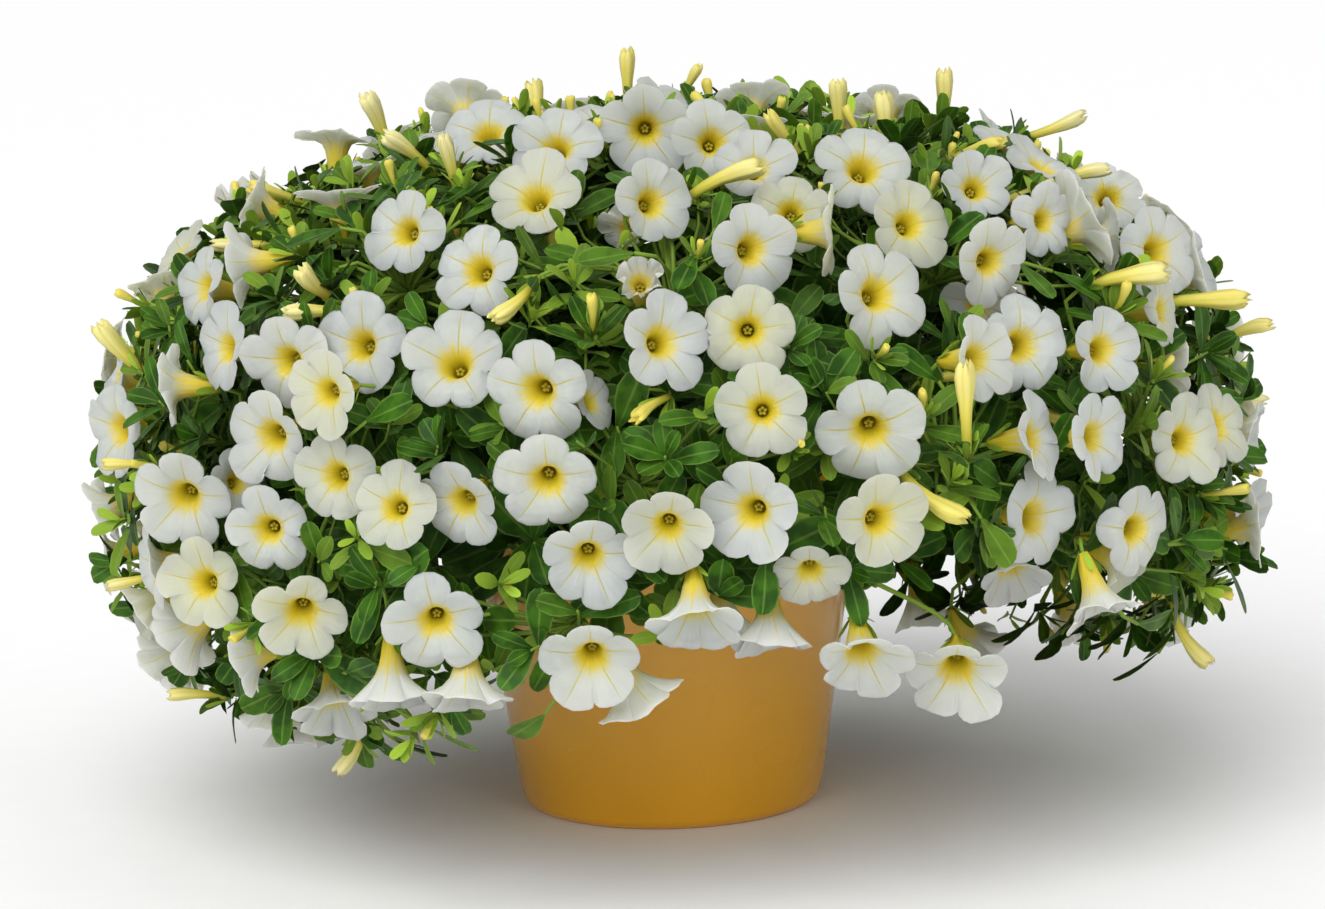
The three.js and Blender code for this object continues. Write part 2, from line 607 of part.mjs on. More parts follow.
// Leaf tips stand evenly over the dome. A blade points away from the core nearest to its tip, and its
// stalk goes to the nearest core that it reaches in the clear. grow says whether the leaf could be added.
function placeLeaves(flowers, grow) {
  const tips = [];
  const draw = draws(FILL.seed + 1);
  for (let k = 0; k < LEAF.candidates; k += 1) {
    const lean = Math.acos(1 - (1 - Math.cos(rad(LEAF.lowest))) * (k + 0.5) / LEAF.candidates);
    const around = k * GOLDEN_ANGLE + LEAF.firstTurn;
    const surface = domePoint(lean, around);
    const normal = domeNormal(surface);
    const rise = LEAF.over - (LEAF.over + LEAF.under) * draw();
    const width = LEAF.width + LEAF.widthSpread * (2 * draw() - 1);
    const turn = rad(LEAF.turnSpread * (draw() - 0.5));
    const tip = surface.clone().addScaledVector(normal, rise);
    if (lean > rad(LEAF.lowest - SKIRT.edgeLift * lifted(around))) continue;
    if (tips.some((other) => other.distanceTo(tip) < LEAF.spacing)) continue;
    const nearest = SHOOTS.flatMap((shoot) => shoot.samples)
      .reduce((best, sample) => (tip.distanceTo(sample.point) < tip.distanceTo(best.point) ? sample : best));
    const away = tip.clone().sub(nearest.point).projectOnPlane(normal).normalize()
      .applyAxisAngle(normal, turn);
    const bend = tip.clone()
      .addScaledVector(away, -LEAF.blade)
      .addScaledVector(normal, -LEAF.bendDepth);
    const [choice] = rootChoices(bend, away, FORWARD.leaf, flowers, null);
    if (!choice || choice.reach < LEAF.reachMin || choice.reach > LEAF.reachMax) continue;
    if (grow(leafGeometry({ root: choice.root, bend, tip, width }), choice.number)) tips.push(tip);
  }
}

// ---- pot and soil -------------------------------------------------------------------------------

function potRadius(height) {
  return POT.baseRadius + (POT.rimRadius - POT.bandStep - POT.baseRadius) * height / POT.height;
}

function potGeometry() {
  const corner = [0, 30, 60, 90].map((degrees) => new THREE.Vector2(
    potRadius(0) - POT.baseRound * (1 - Math.sin(rad(degrees))),
    POT.baseRound * (1 - Math.cos(rad(degrees))),
  ));
  const under = POT.height - POT.bandHeight;
  const profile = [
    new THREE.Vector2(0, 0),
    ...corner,
    new THREE.Vector2(potRadius(under), under),
    new THREE.Vector2(potRadius(under) + POT.bandStep, under + POT.bandStep),
    new THREE.Vector2(POT.rimRadius, POT.height - POT.rimRound),
    new THREE.Vector2(POT.rimRadius - POT.rimRound, POT.height),
    new THREE.Vector2(POT.rimRadius - POT.wall, POT.height),
    new THREE.Vector2(potRadius(POT.floor) - POT.wall, POT.floor),
    new THREE.Vector2(0, POT.floor),
  ];
  return new THREE.LatheGeometry(profile, POT.sides).rotateX(Math.PI / 2);
}

function soilGeometry() {
  const bottom = POT.floor + SOIL.gap;
  const slope = (POT.rimRadius - potRadius(POT.floor)) / (POT.height - POT.floor);
  const inner = (height) => potRadius(POT.floor) - POT.wall + slope * (height - POT.floor) - SOIL.gap;
  const height = SOIL.top - bottom;
  const block = new THREE.CylinderGeometry(inner(SOIL.top), inner(bottom), height, POT.sides)
    .rotateX(Math.PI / 2)
    .translate(0, 0, bottom + height / 2);
  const holes = SHOOTS.map((shoot) => solid(new THREE.CylinderGeometry(
    SOIL.holeRadius, SOIL.holeRadius, SOIL.holeDepth * 2, SOIL.holeSides,
  ).rotateX(Math.PI / 2).translate(shoot.foot.x, shoot.foot.y, SOIL.top)));
  return geometryOf(holes.reduce((soil, hole) => soil.subtract(hole), solid(block)));
}

// ---- the whole plant ----------------------------------------------------------------------------

function shootGeometries() {
  const shoots = SHOOTS.map((shoot) => {
    const core = solid(coreGeometry(shoot));
    return { core, whole: core, pieces: [] };
  });
  // Joins a piece to a shoot, if that shoot's core holds it and it crosses nothing outside that core.
  const grow = (geometry, number) => {
    const body = solid(geometry);
    const shoot = shoots[number];
    if (body.intersect(shoot.core).volume() < STALK.hold) return false;
    const outside = body.subtract(shoot.core);
    const crosses = (other) => outside.intersect(other).volume() > 0;
    if (shoot.pieces.some(crosses)) return false;
    if (shoots.some((other) => other !== shoot && crosses(other.whole))) return false;
    const whole = joined(shoot.whole, body);
    if (!isClean(whole)) return false;
    shoot.pieces.push(body);
    shoot.whole = whole;
    return true;
  };
  const flowers = placeFlowers();
  for (const item of flowers) {
    const make = item.open ? bloomGeometry : budGeometry;
    rootChoices(item.heel, item.face, FORWARD.flower, flowers, item)
      .some((choice) => grow(make(item, choice.root), choice.number));
  }
  placeLeaves(flowers, grow);
  return shoots.map((shoot) => geometryOf(shoot.whole));
}

function part(name, geometry, color, roughness) {
  const mesh = new THREE.Mesh(geometry, new THREE.MeshStandardMaterial({ color, roughness, metalness: 0 }));
  mesh.name = name;
  return mesh;
}

const plant = new THREE.Group();
plant.add(part('pot', potGeometry(), '#a8782a', 0.3));
plant.add(part('potting_soil', soilGeometry(), '#2e2118', 0.95));
shootGeometries().forEach((geometry, k) => {
  const name = `flowering_shoot_${String(k + 1).padStart(2, '0')}`;
  plant.add(part(name, geometry, '#dce3cc', 0.6));
});

export default plant;
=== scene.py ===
# A calibrachoa in its pot: a broad dome of white, yellow-throated blooms on leafy shoots.
# Lengths are worked out in millimetres and turned to metres where a mesh is made. +Z is up, the front
# faces -Y, and the origin is the centre of the pot's underside.

import math
from functools import partial

import bpy
import numpy as np
from mathutils import Matrix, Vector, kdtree


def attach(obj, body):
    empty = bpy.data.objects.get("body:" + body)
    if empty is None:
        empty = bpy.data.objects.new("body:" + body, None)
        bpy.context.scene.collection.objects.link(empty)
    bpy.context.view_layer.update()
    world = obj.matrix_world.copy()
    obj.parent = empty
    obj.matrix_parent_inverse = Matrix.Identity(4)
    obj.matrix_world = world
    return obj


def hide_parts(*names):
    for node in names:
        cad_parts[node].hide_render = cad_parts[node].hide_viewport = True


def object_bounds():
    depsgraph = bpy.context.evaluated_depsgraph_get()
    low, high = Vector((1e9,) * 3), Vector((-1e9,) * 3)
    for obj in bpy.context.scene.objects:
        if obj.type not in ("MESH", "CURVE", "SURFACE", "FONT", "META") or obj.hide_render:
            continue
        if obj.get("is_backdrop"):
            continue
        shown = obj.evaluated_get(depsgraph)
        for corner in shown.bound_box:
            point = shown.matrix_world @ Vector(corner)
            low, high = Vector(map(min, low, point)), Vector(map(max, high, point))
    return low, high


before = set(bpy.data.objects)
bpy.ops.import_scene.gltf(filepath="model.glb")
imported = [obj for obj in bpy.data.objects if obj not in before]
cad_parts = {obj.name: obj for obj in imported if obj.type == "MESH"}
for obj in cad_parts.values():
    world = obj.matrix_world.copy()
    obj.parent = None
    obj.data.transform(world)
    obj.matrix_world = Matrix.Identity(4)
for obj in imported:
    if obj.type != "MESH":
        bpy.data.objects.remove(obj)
SOLIDS_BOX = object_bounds()

bl_info = {
    "name": "Potted Calibrachoa",
    "version": (1, 0, 0),
    "blender": (4, 5, 0),
    "location": "View3D > Sidebar > Calibrachoa",
    "description": "Builds a potted calibrachoa: pot, soil, leafy shoots, blooms, buds and a studio stage",
    "category": "Add Mesh",
}

MM = 0.001

# ---- sizes shared with the solids ----

SOIL_TOP = 103
DOME_X, DOME_Z, DOME_RADIUS, DOME_UP, DOME_DOWN, DOME_POWER = 5, 108, 188, 119, 84, 2.5

# Rings of shoots: how many, how far from the pot's axis they stand, how far their ends lean, and the turn
# of the first one, in degrees.
SHOOT_RINGS = [(1, 0, 0, 0), (5, 13, 30, 12), (9, 26, 57, 30), (11, 38, 82, 4), (12, 50, 107, 19)]
FOOT_HANDLE, TIP_HANDLE, FOOT_LEAN, TIP_LEAN = 0.42, 0.3, 0.2, 0.95
# The bush hangs less low over the front of the pot: the turn at which it is lifted most, and by how many
# degrees its edge and the ends of its lowest shoots are lifted there.
SKIRT_TURN, EDGE_LIFT, SHOOT_LIFT, LOW_SHOOTS = -65, 28, 14, 90
# Stems start so far over the soil and end so far under the dome.
STEM_START, TIP_DEPTH = 3, 17
CORE_PLACES = [0, 0.2, 0.45, 0.72, 0.87, 1]
GROWS_FROM, GROWS_TO, GROWS_SAMPLES = 0.34, 0.9, 13

LOBES, LOBE_HALF, NOTCH, RIM_RISE, THROAT_DEPTH = 5, 17, 0.84, 0.12, 0.2
LOBE_TURN = 2 * math.pi / LOBES
TUBE_LENGTH, SPIN_SPREAD = 15, 28
BUD_BELLY, BUD_BELLY_PLACE, BUD_SHARE = 3.2, 0.72, 0.8
LEAF_WIDTH, LEAF_WIDTH_SPREAD, LEAF_BLADE, LEAF_WIDEST, LEAF_KEEL = 11, 1.6, 22, 0.62, 1.4
LEAF_OVER, LEAF_UNDER, LEAF_BEND_DEPTH, LEAF_LOWEST = 3.5, 5, 5, 126
LEAF_CANDIDATES, LEAF_FIRST_TURN, LEAF_TURN_SPREAD = 2400, 0.5, 50
FILL_CANDIDATES, FILL_WIDTH, FILL_WIDTH_SPREAD, FILL_NOD, FILL_LOWEST, FILL_SEED = 900, 28, 3, 22, 122, 7
# Of the flowers there, the share of buds, one cream bloom in so many, and one wilted bloom in so many from
# this one on.
FILL_BUDS, FILL_CREAM, FILL_WILTED, FIRST_WILTED = 0.16, 3, 29, 7
SETTLE_ALONG_VIEW = [0, 4, 8, -4, 12, 16, -8, 20, 24, 28, -12, 32, 36]
SETTLE_ALONG_AXIS = [0, -4, 4, -8, 8, -12]
TUFT_LOWEST = 120
# A solid holds a flower or a leaf when it has at least so many of its marks.
LEAST_MARKS = {"bloom": 8, "bud": 3, "leaf": 2}
# Where late blooms grow: no further from upright than this, no more turned to the front, and so far from
# other blooms and from buds.
LATE_LOWEST, LATE_FRONT_LIMIT, LATE_GAP, BUD_GAP = 112, 0.45, 28.3, 21
# The leaves at a bud's foot: how many, how new and how long beside a full-grown leaf.
FOOT_LEAVES, FOOT_NEWNESS, FOOT_LENGTH = 6, 0.2, 0.85
GOLDEN_ANGLE = math.pi * (3 - math.sqrt(5))

# The front of the plant is laid out as seen from one point in front of it: column and row on a grid
# 1325 steps wide and 909 high.
GRID_WIDTH, FOCAL, GRID_COLUMN, GRID_ROW = 1325, 4294, 662.5, 454.5
EYE_DISTANCE, AIM_HEIGHT = 1400, 114
PITCH, ROLL = math.radians(9), math.radians(1.7)
FORWARD = np.array([0, math.cos(PITCH), -math.sin(PITCH)])
UPWARD = np.array([0, math.sin(PITCH), math.cos(PITCH)])
EYE = np.array([0, 0, AIM_HEIGHT]) - EYE_DISTANCE * FORWARD
# Distances from the eye at which a line of sight is tried.
SIGHT_STEPS = np.arange(1100, 1701)
# A direction or a path steeper than this, as its upright share, is squared to X in place of Z.
STEEP_FACE, STEEP_PATH = 0.95, 0.9

# Open blooms on the front: column, row, width, turn to the right and tip upwards in degrees from facing
# the eye.
FRONT_BLOOMS = [
    [763, 410, 28, 0, 2], [748, 330, 29, 0, 0], [752, 512, 31, -20, -12], [668, 527, 28, -5, -22],
    [687, 462, 32, -5, -20], [662, 342, 31, 30, 5], [752, 250, 30, 30, -2], [870, 432, 34, 0, -22],
    [878, 294, 33, 30, 8], [909, 224, 28, 25, 12], [863, 168, 32, 12, 25], [547, 481, 31, -5, -22],
    [537, 392, 33, -22, -12], [455, 363, 33, -12, 22], [478, 270, 30, -25, 12], [535, 197, 31, -15, 28],
    [556, 148, 30, -8, 22], [487, 133, 30, -12, 35], [645, 130, 31, 0, -8], [395, 507, 27, -20, 5],
    [335, 476, 28, -28, -5], [360, 345, 31, -28, 5], [287, 362, 30, -30, -10], [271, 437, 31, -30, -15],
    [184, 498, 33, -15, -22], [117, 430, 32, -52, -8], [203, 583, 30, -28, 0], [302, 613, 31, 0, -28],
    [436, 622, 31, 0, -22], [592, 658, 31, 0, -28], [810, 572, 24, 0, -38], [880, 520, 30, 25, -8],
    [990, 262, 28, 30, -10], [1022, 345, 32, 28, -2], [1103, 350, 29, 38, -2], [1095, 437, 29, 52, -4],
    [1035, 438, 29, 62, 0], [1036, 518, 33, 48, -8], [1137, 530, 29, 38, -12], [1185, 440, 29, 35, -2],
    [1158, 250, 31, 35, 5], [1163, 310, 24, 65, -2], [957, 671, 33, -3, -38], [862, 655, 30, 5, -48],
    [462, 503, 28, -25, -22], [268, 530, 28, -15, -10], [588, 557, 29, 0, -22], [754, 168, 26, 5, 22],
    [652, 203, 28, 30, 5], [405, 232, 28, -30, 5], [225, 348, 28, -55, 0], [203, 287, 27, -60, 5],
    [695, 612, 30, 0, -62], [770, 625, 27, 0, -80], [530, 622, 24, 8, -70], [467, 683, 29, 0, -80],
    [392, 680, 28, 0, -80], [632, 687, 30, 90, -68], [153, 567, 30, -72, -12], [172, 385, 28, -95, -5],
    [256, 205, 28, -95, 15], [248, 264, 28, -100, -15], [337, 138, 28, -10, 95], [832, 232, 28, 88, -8],
    [1080, 222, 34, 110, 15], [1170, 362, 26, 105, -10], [1252, 526, 27, 90, 0], [1218, 425, 28, 45, 8],
    [1098, 600, 27, 40, -75], [1120, 562, 26, 60, -35], [1012, 570, 24, 15, -55], [190, 630, 29, -110, -45],
    [252, 655, 27, -95, -25], [326, 393, 27, -32, -10], [452, 240, 28, 75, 8], [791, 212, 25, 0, 15],
    [712, 142, 28, 10, 10], [467, 108, 29, 0, 135], [752, 103, 26, 0, 125], [885, 108, 25, 0, 120],
    [978, 358, 28, 45, 0], [975, 188, 25, 15, 15], [1008, 140, 26, 60, 60], [1043, 165, 28, 60, 50],
    [1197, 272, 29, 75, 10], [1110, 238, 27, 100, -5], [980, 305, 26, 10, -25], [360, 615, 28, 25, -15],
    [285, 645, 31, -12, -40], [722, 614, 26, 5, -85], [630, 545, 26, 20, -15], [592, 402, 20, 60, 10],
    [552, 545, 20, 10, -30], [238, 482, 22, 40, 5], [1000, 215, 25, 25, 0], [1045, 220, 24, 40, 0],
    [628, 228, 20, -20, 0], [640, 283, 20, 0, 20],
]
# Closed buds on the front: column and row of the middle, length, and the way the tip points.
FRONT_BUDS = [
    [278, 195, 20, -80, 10], [323, 286, 22, -40, 25], [320, 313, 22, -75, -5], [248, 243, 22, -95, -10],
    [130, 355, 28, -80, 40], [378, 130, 26, -50, 60], [410, 155, 22, -60, 30], [452, 170, 24, -30, 60],
    [515, 298, 20, -50, -40], [628, 82, 22, -20, 85], [838, 118, 24, -30, 80], [883, 130, 24, -30, 80],
    [790, 140, 24, -60, 40], [722, 185, 28, 75, 15], [440, 425, 26, -45, -50], [652, 408, 20, -30, -20],
    [955, 376, 22, 80, 0], [966, 410, 28, -10, 75], [963, 292, 28, 75, -8], [1020, 195, 26, 80, 5],
    [975, 152, 20, 60, 10], [1050, 127, 24, 85, 10], [1077, 181, 22, 80, 10], [1125, 279, 26, 85, 0],
    [1155, 283, 28, 80, -5], [1203, 300, 28, 85, -8], [1058, 417, 26, 60, -25], [932, 493, 26, 60, -40],
    [132, 465, 18, -90, -5], [135, 580, 18, -90, -20], [198, 696, 18, -90, -5], [945, 110, 26, -10, 80],
    [690, 85, 16, 60, 50], [1225, 492, 15, 85, 0],
]
# Of the front blooms, by their places in that list, those that are cream, and those that have begun to wilt.
CREAM = {0, 1, 3, 9, 15, 19, 20, 26, 27, 30, 31, 39, 41, 63, 67, 69, 73, 75}
WILTED = {92, 96, 97}


# ---- vectors ----

def unit(vectors):
    return vectors / np.maximum(np.linalg.norm(vectors, axis=-1, keepdims=True), 1e-12)


def dot(one, other):
    return np.sum(one * other, axis=-1)


def flat(vector, normal):
    """The vector's part that lies square to the normal, made one long."""
    return unit(vector - dot(vector, normal)[..., None] * normal)


def draws(seed):
    """Numbers from 0 to 1, the same on every run: a linear congruential generator of 32 bits."""
    state = seed
    while True:
        state = (state * 1664525 + 1013904223) % 2**32
        yield state / 2**32


# ---- the dome and the view of it ----

def dome_level(points):
    """Less than 0 inside the dome and more outside: a superellipsoid, round in plan."""
    height = np.where(points[..., 2] > DOME_Z, DOME_UP, DOME_DOWN)
    reach = np.hypot(points[..., 0] - DOME_X, points[..., 1])
    return (reach / DOME_RADIUS) ** DOME_POWER + (np.abs(points[..., 2] - DOME_Z) / height) ** DOME_POWER - 1


def dome_normal(points):
    over = points - np.array([DOME_X, 0, DOME_Z])
    height = np.where(over[..., 2] > 0, DOME_UP, DOME_DOWN)
    reach = np.hypot(over[..., 0], over[..., 1])
    across = (reach / DOME_RADIUS) ** (DOME_POWER - 1) / DOME_RADIUS
    along = (np.abs(over[..., 2]) / height) ** (DOME_POWER - 1) / height
    share = np.where(reach > 0, across / np.maximum(reach, 1e-12), 0)
    return unit(np.stack([over[..., 0] * share, over[..., 1] * share, np.sign(over[..., 2]) * along], -1))


def dome_point(lean, turn):
    """The dome's point in the direction of a lean from upright and a turn about the vertical."""
    height = np.where(np.cos(lean) > 0, DOME_UP, DOME_DOWN)
    reach = ((np.sin(lean) / DOME_RADIUS) ** DOME_POWER
             + (np.abs(np.cos(lean)) / height) ** DOME_POWER) ** (-1 / DOME_POWER)
    return np.stack([DOME_X + reach * np.sin(lean) * np.cos(turn), reach * np.sin(lean) * np.sin(turn),
                     DOME_Z + reach * np.cos(lean)], -1)


def even_turns(count, lowest, first_turn=0.0):
    """Leans and turns of directions that stand evenly about the vertical, from upright down to the lowest
    lean in degrees: each turns on by the golden angle, and the leans' cosines fall by equal steps."""
    k = np.arange(count)
    lean = np.arccos(1 - (1 - math.cos(math.radians(lowest))) * (k + 0.5) / count)
    return lean, k * GOLDEN_ANGLE + first_turn


def sight(column, row):
    """Where a line of sight meets the dome, or passes it nearest, and the line's direction."""
    across, up = (column - GRID_COLUMN) / FOCAL, (GRID_ROW - row) / FOCAL
    x = across * math.cos(ROLL) + up * math.sin(ROLL)
    y = up * math.cos(ROLL) - across * math.sin(ROLL)
    ray = unit(np.array([x, 0, 0]) + FORWARD + y * UPWARD)
    level = dome_level(EYE + SIGHT_STEPS[:, None] * ray)
    inside = np.flatnonzero(level < 0)
    best = inside[0] if inside.size else np.argmin(level)
    return EYE + SIGHT_STEPS[best] * ray, ray


def facing(turn, tip):
    """The direction turned right and tipped up by so many degrees from facing the eye."""
    turn, rise = math.radians(turn), math.radians(tip) + PITCH
    return np.array([math.sin(turn) * math.cos(rise), -math.cos(turn) * math.cos(rise), math.sin(rise)])


def square_to(face):
    """The two directions square to a flower's axis: right and up, as seen from its front."""
    steep = np.abs(face[..., 2:3]) > STEEP_FACE
    across = np.where(steep, np.array([1.0, 0, 0]), unit(np.cross(np.array([0, 0, 1.0]), face)))
    up = unit(np.cross(face, across))
    return unit(np.cross(up, face)), up


# ---- shoots, and what the solids hold ----

def bezier(controls, places):
    """Points of cubic curves: (shoots, 4, 3) controls at (places,) gives (shoots, places, 3)."""
    t = np.asarray(places, float)
    weights = np.stack([(1 - t) ** 3, 3 * t * (1 - t) ** 2, 3 * t**2 * (1 - t), t**3], -1)
    return np.einsum("pc,scx->spx", weights, controls)


def lifted(turn):
    """How much of the skirt's lift there is at a turn about the vertical, from 0 to 1."""
    return np.maximum(0, np.cos(turn - math.radians(SKIRT_TURN))) ** 2


def over_edge(lean, turn, lowest):
    """Whether directions stay over the skirt's edge, at the lowest lean but for its lift at the front."""
    return lean < np.radians(lowest - EDGE_LIFT * lifted(turn))


def shoot_controls():
    """Each shoot leaves the soil upright, leans out in one upright plane, and ends under the dome."""
    foot, lean, turn = np.array([
        (foot, lean, turn + 360 * k / count) for count, foot, lean, turn in SHOOT_RINGS for k in range(count)
    ], float).T
    turn = np.radians(turn)
    lean = np.radians(lean - np.where(lean > LOW_SHOOTS, SHOOT_LIFT * lifted(turn), 0))
    out = np.stack([np.cos(turn), np.sin(turn), 0 * turn], -1)
    up = np.array([0, 0, 1.0])
    start = out * foot[:, None] + up * (SOIL_TOP + STEM_START)
    surface = dome_point(lean, turn)
    end = surface - dome_normal(surface) * TIP_DEPTH
    span = np.linalg.norm(end - start, axis=-1)[:, None]

    def heading(angle):
        return out * np.sin(angle)[:, None] + up * np.cos(angle)[:, None]

    early = start + heading(lean * FOOT_LEAN) * span * FOOT_HANDLE
    late = end - heading(lean * TIP_LEAN) * span * TIP_HANDLE
    return np.stack([start, early, late, end], 1)


SHOOT_CURVES = shoot_controls()
SHOOT_COUNT = len(SHOOT_CURVES)
SHOOT_NODES = [f"flowering_shoot_{k + 1:02d}" for k in range(SHOOT_COUNT)]


def core_samples():
    """Points on the straight stretches between a core's stations, where leaves and flowers grow from."""
    stations = bezier(SHOOT_CURVES, CORE_PLACES)
    places = np.linspace(GROWS_FROM, GROWS_TO, GROWS_SAMPLES)
    upper = np.clip(np.searchsorted(CORE_PLACES, places), 1, len(CORE_PLACES) - 1)
    at = np.array(CORE_PLACES)
    step = ((places - at[upper - 1]) / (at[upper] - at[upper - 1]))[None, :, None]
    return stations[:, upper - 1] * (1 - step) + stations[:, upper] * step


CORE_POINTS = core_samples()


class Solids:
    """Answers which shoot's solid has a point at given marks."""

    TOUCH = 0.02

    def __init__(self):
        self.owner = []
        points = []
        for number, name in enumerate(SHOOT_NODES):
            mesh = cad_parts[name].data
            found = np.empty(len(mesh.vertices) * 3, np.float32)
            mesh.vertices.foreach_get("co", found)
            points.append(found.reshape(-1, 3) / MM)
            self.owner += [number] * len(mesh.vertices)
        points = np.concatenate(points)
        self.tree = kdtree.KDTree(len(points))
        for index, point in enumerate(points):
            self.tree.insert(point, index)
        self.tree.balance()

    def holder(self, marks, least):
        """The shoot that holds at least so many of the marks, or None."""
        owners = []
        for mark in marks:
            _, index, distance = self.tree.find(mark)
            if distance < self.TOUCH:
                owners.append(self.owner[index])
        return max(set(owners), key=owners.count) if len(owners) >= least else None


def bloom_marks(centre, face, radius, spin):
    """The corners of a bloom's solid: the throat's middle and the rim, three points to a lobe."""
    right, up = square_to(face)
    lobe = np.arange(LOBES) * 360 / LOBES
    turns = np.radians(np.stack([lobe - 180 / LOBES, lobe - LOBE_HALF, lobe + LOBE_HALF], -1).ravel() + spin)
    reach = (np.tile([NOTCH, 1, 1], LOBES) * radius)[:, None]
    sine, cosine = np.sin(turns)[:, None], np.cos(turns)[:, None]
    rim = centre + reach * (sine * right + cosine * up + RIM_RISE * face)
    return np.vstack([centre - face * THROAT_DEPTH * radius, rim])


def bud_marks(centre, face, length):
    """The corners of a bud's solid: its tip and the four points round its belly."""
    right, up = square_to(face)
    belly = centre + face * length * (BUD_BELLY_PLACE - 0.5)
    turns = np.radians([45, 135, 225, 315])[:, None]
    ring = belly + BUD_BELLY * (np.sin(turns) * right + np.cos(turns) * up)
    return np.vstack([centre + face * length / 2, ring])


def planned_flowers():
    """Every flower that the plan tries, as (kind, centres to try, face, size, spin, cream, wilted)."""
    draw = draws(FILL_SEED)
    for kind, rows, cream, wilted in (("bloom", FRONT_BLOOMS, CREAM, WILTED), ("bud", FRONT_BUDS, (), ())):
        for number, (column, row, size, turn, tip) in enumerate(rows):
            point, ray = sight(column, row)
            spin = (next(draw) - 0.5) * SPIN_SPREAD
            centres = [point + ray * shift for shift in SETTLE_ALONG_VIEW]
            yield kind, centres, facing(turn, tip), size, spin, number in cream, number in wilted
    nod = math.tan(math.radians(FILL_NOD))
    for k, point in enumerate(dome_point(*even_turns(FILL_CANDIDATES, FILL_LOWEST))):
        normal = dome_normal(point)
        sideways, upwards, wide, kind_draw, spin = (next(draw) for _ in range(5))
        right, up = square_to(normal)
        face = unit(normal + right * nod * (2 * sideways - 1) + up * nod * (2 * upwards - 1))
        width = FILL_WIDTH + FILL_WIDTH_SPREAD * (2 * wide - 1)
        kind, size = ("bud", width * BUD_SHARE) if kind_draw < FILL_BUDS else ("bloom", width)
        centres = [point + normal * shift for shift in SETTLE_ALONG_AXIS]
        yield (kind, centres, face, size, (spin - 0.5) * SPIN_SPREAD, k % FILL_CREAM == 0,
               k % FILL_WILTED == FIRST_WILTED)


def held_flowers(solids):
    """Those planned flowers that the solids hold, as blooms and buds, each a list of dicts."""
    held = {"bloom": [], "bud": []}
    for number, (kind, centres, face, size, spin, cream, wilted) in enumerate(planned_flowers()):
        for centre in centres:
            is_bloom = kind == "bloom"
            marks = bloom_marks(centre, face, size / 2, spin) if is_bloom else bud_marks(centre, face, size)
            shoot = solids.holder(marks, LEAST_MARKS[kind])
            if shoot is not None:
                held[kind].append({"centre": centre, "face": face, "size": size, "spin": spin, "shoot": shoot,
                                   "cream": cream, "wilted": wilted, "near": number < len(FRONT_BLOOMS)})
                break
    return held["bloom"], held["bud"]


def held_leaves(solids):
    """The solids' broad leaves, as arrays: their shoots, bends, tips, widths and normals."""
    draw = draws(FILL_SEED + 1)
    samples = CORE_POINTS.reshape(-1, 3)
    held = []
    for surface in dome_point(*even_turns(LEAF_CANDIDATES, LEAF_LOWEST, LEAF_FIRST_TURN)):
        normal = dome_normal(surface)
        rise = LEAF_OVER - (LEAF_OVER + LEAF_UNDER) * next(draw)
        width = LEAF_WIDTH + LEAF_WIDTH_SPREAD * (2 * next(draw) - 1)
        turn = math.radians(LEAF_TURN_SPREAD * (next(draw) - 0.5))
        tip = surface + normal * rise
        nearest = samples[np.argmin(np.linalg.norm(samples - tip, axis=-1))]
        straight_out = flat(tip - nearest, normal)
        away = straight_out * math.cos(turn) + np.cross(normal, straight_out) * math.sin(turn)
        bend = tip - away * LEAF_BLADE - normal * LEAF_BEND_DEPTH
        along = unit(tip - bend)
        right = unit(np.cross(dome_normal(tip), along))
        middle = bend + (tip - bend) * LEAF_WIDEST
        marks = [tip, middle + right * width / 2, middle - right * width / 2,
                 middle - np.cross(along, right) * LEAF_KEEL]
        shoot = solids.holder(marks, LEAST_MARKS["leaf"])
        if shoot is not None:
            held.append((shoot, bend, tip, width, normal))
    return [np.array(column) for column in zip(*held)]


# ---- surfaces ----

def spokes(turn, face):
    """Directions square to each face, at turns in radians from up towards right: (faces, turns, 3)."""
    right, up = square_to(face)
    return np.sin(turn)[..., None] * right[:, None] + np.cos(turn)[..., None] * up[:, None]


def closed_faces(rings, around):
    """Faces of a closed skin whose points are a first pole, the rings in order, and a last pole. Rings run
    anticlockwise about the way from the first pole to the last, so the faces point outwards."""
    k = np.arange(around)
    after = (k + 1) % around
    low = 1 + np.arange(rings - 1)[:, None] * around
    quads = np.stack([low + k, low + after, low + around + after, low + around + k], -1).reshape(-1, 4)
    top = 1 + (rings - 1) * around
    first = np.stack([0 * k, 1 + after, 1 + k], -1)
    last = np.stack([0 * k + 1 + rings * around, top + k, top + after], -1)
    return quads, np.vstack([first, last])


def closed_points(first, rings, last):
    """(count, points, 3) of skins from their first poles, (count, rings, around, 3) rings and last poles."""
    return np.concatenate([first[:, None], rings.reshape(len(rings), -1, 3), last[:, None]], 1)


def closed_values(rings, first, between, last):
    """One number at each point of such skins: at the first poles, at the rings' points and at the last poles.
    Each is stretched to all the skins, rings and points that it isn't given for."""
    count = len(rings)
    first, last = (np.broadcast_to(end, count)[:, None] for end in (first, last))
    return np.concatenate([first, np.broadcast_to(between, rings.shape[:3]).reshape(count, -1), last], 1)


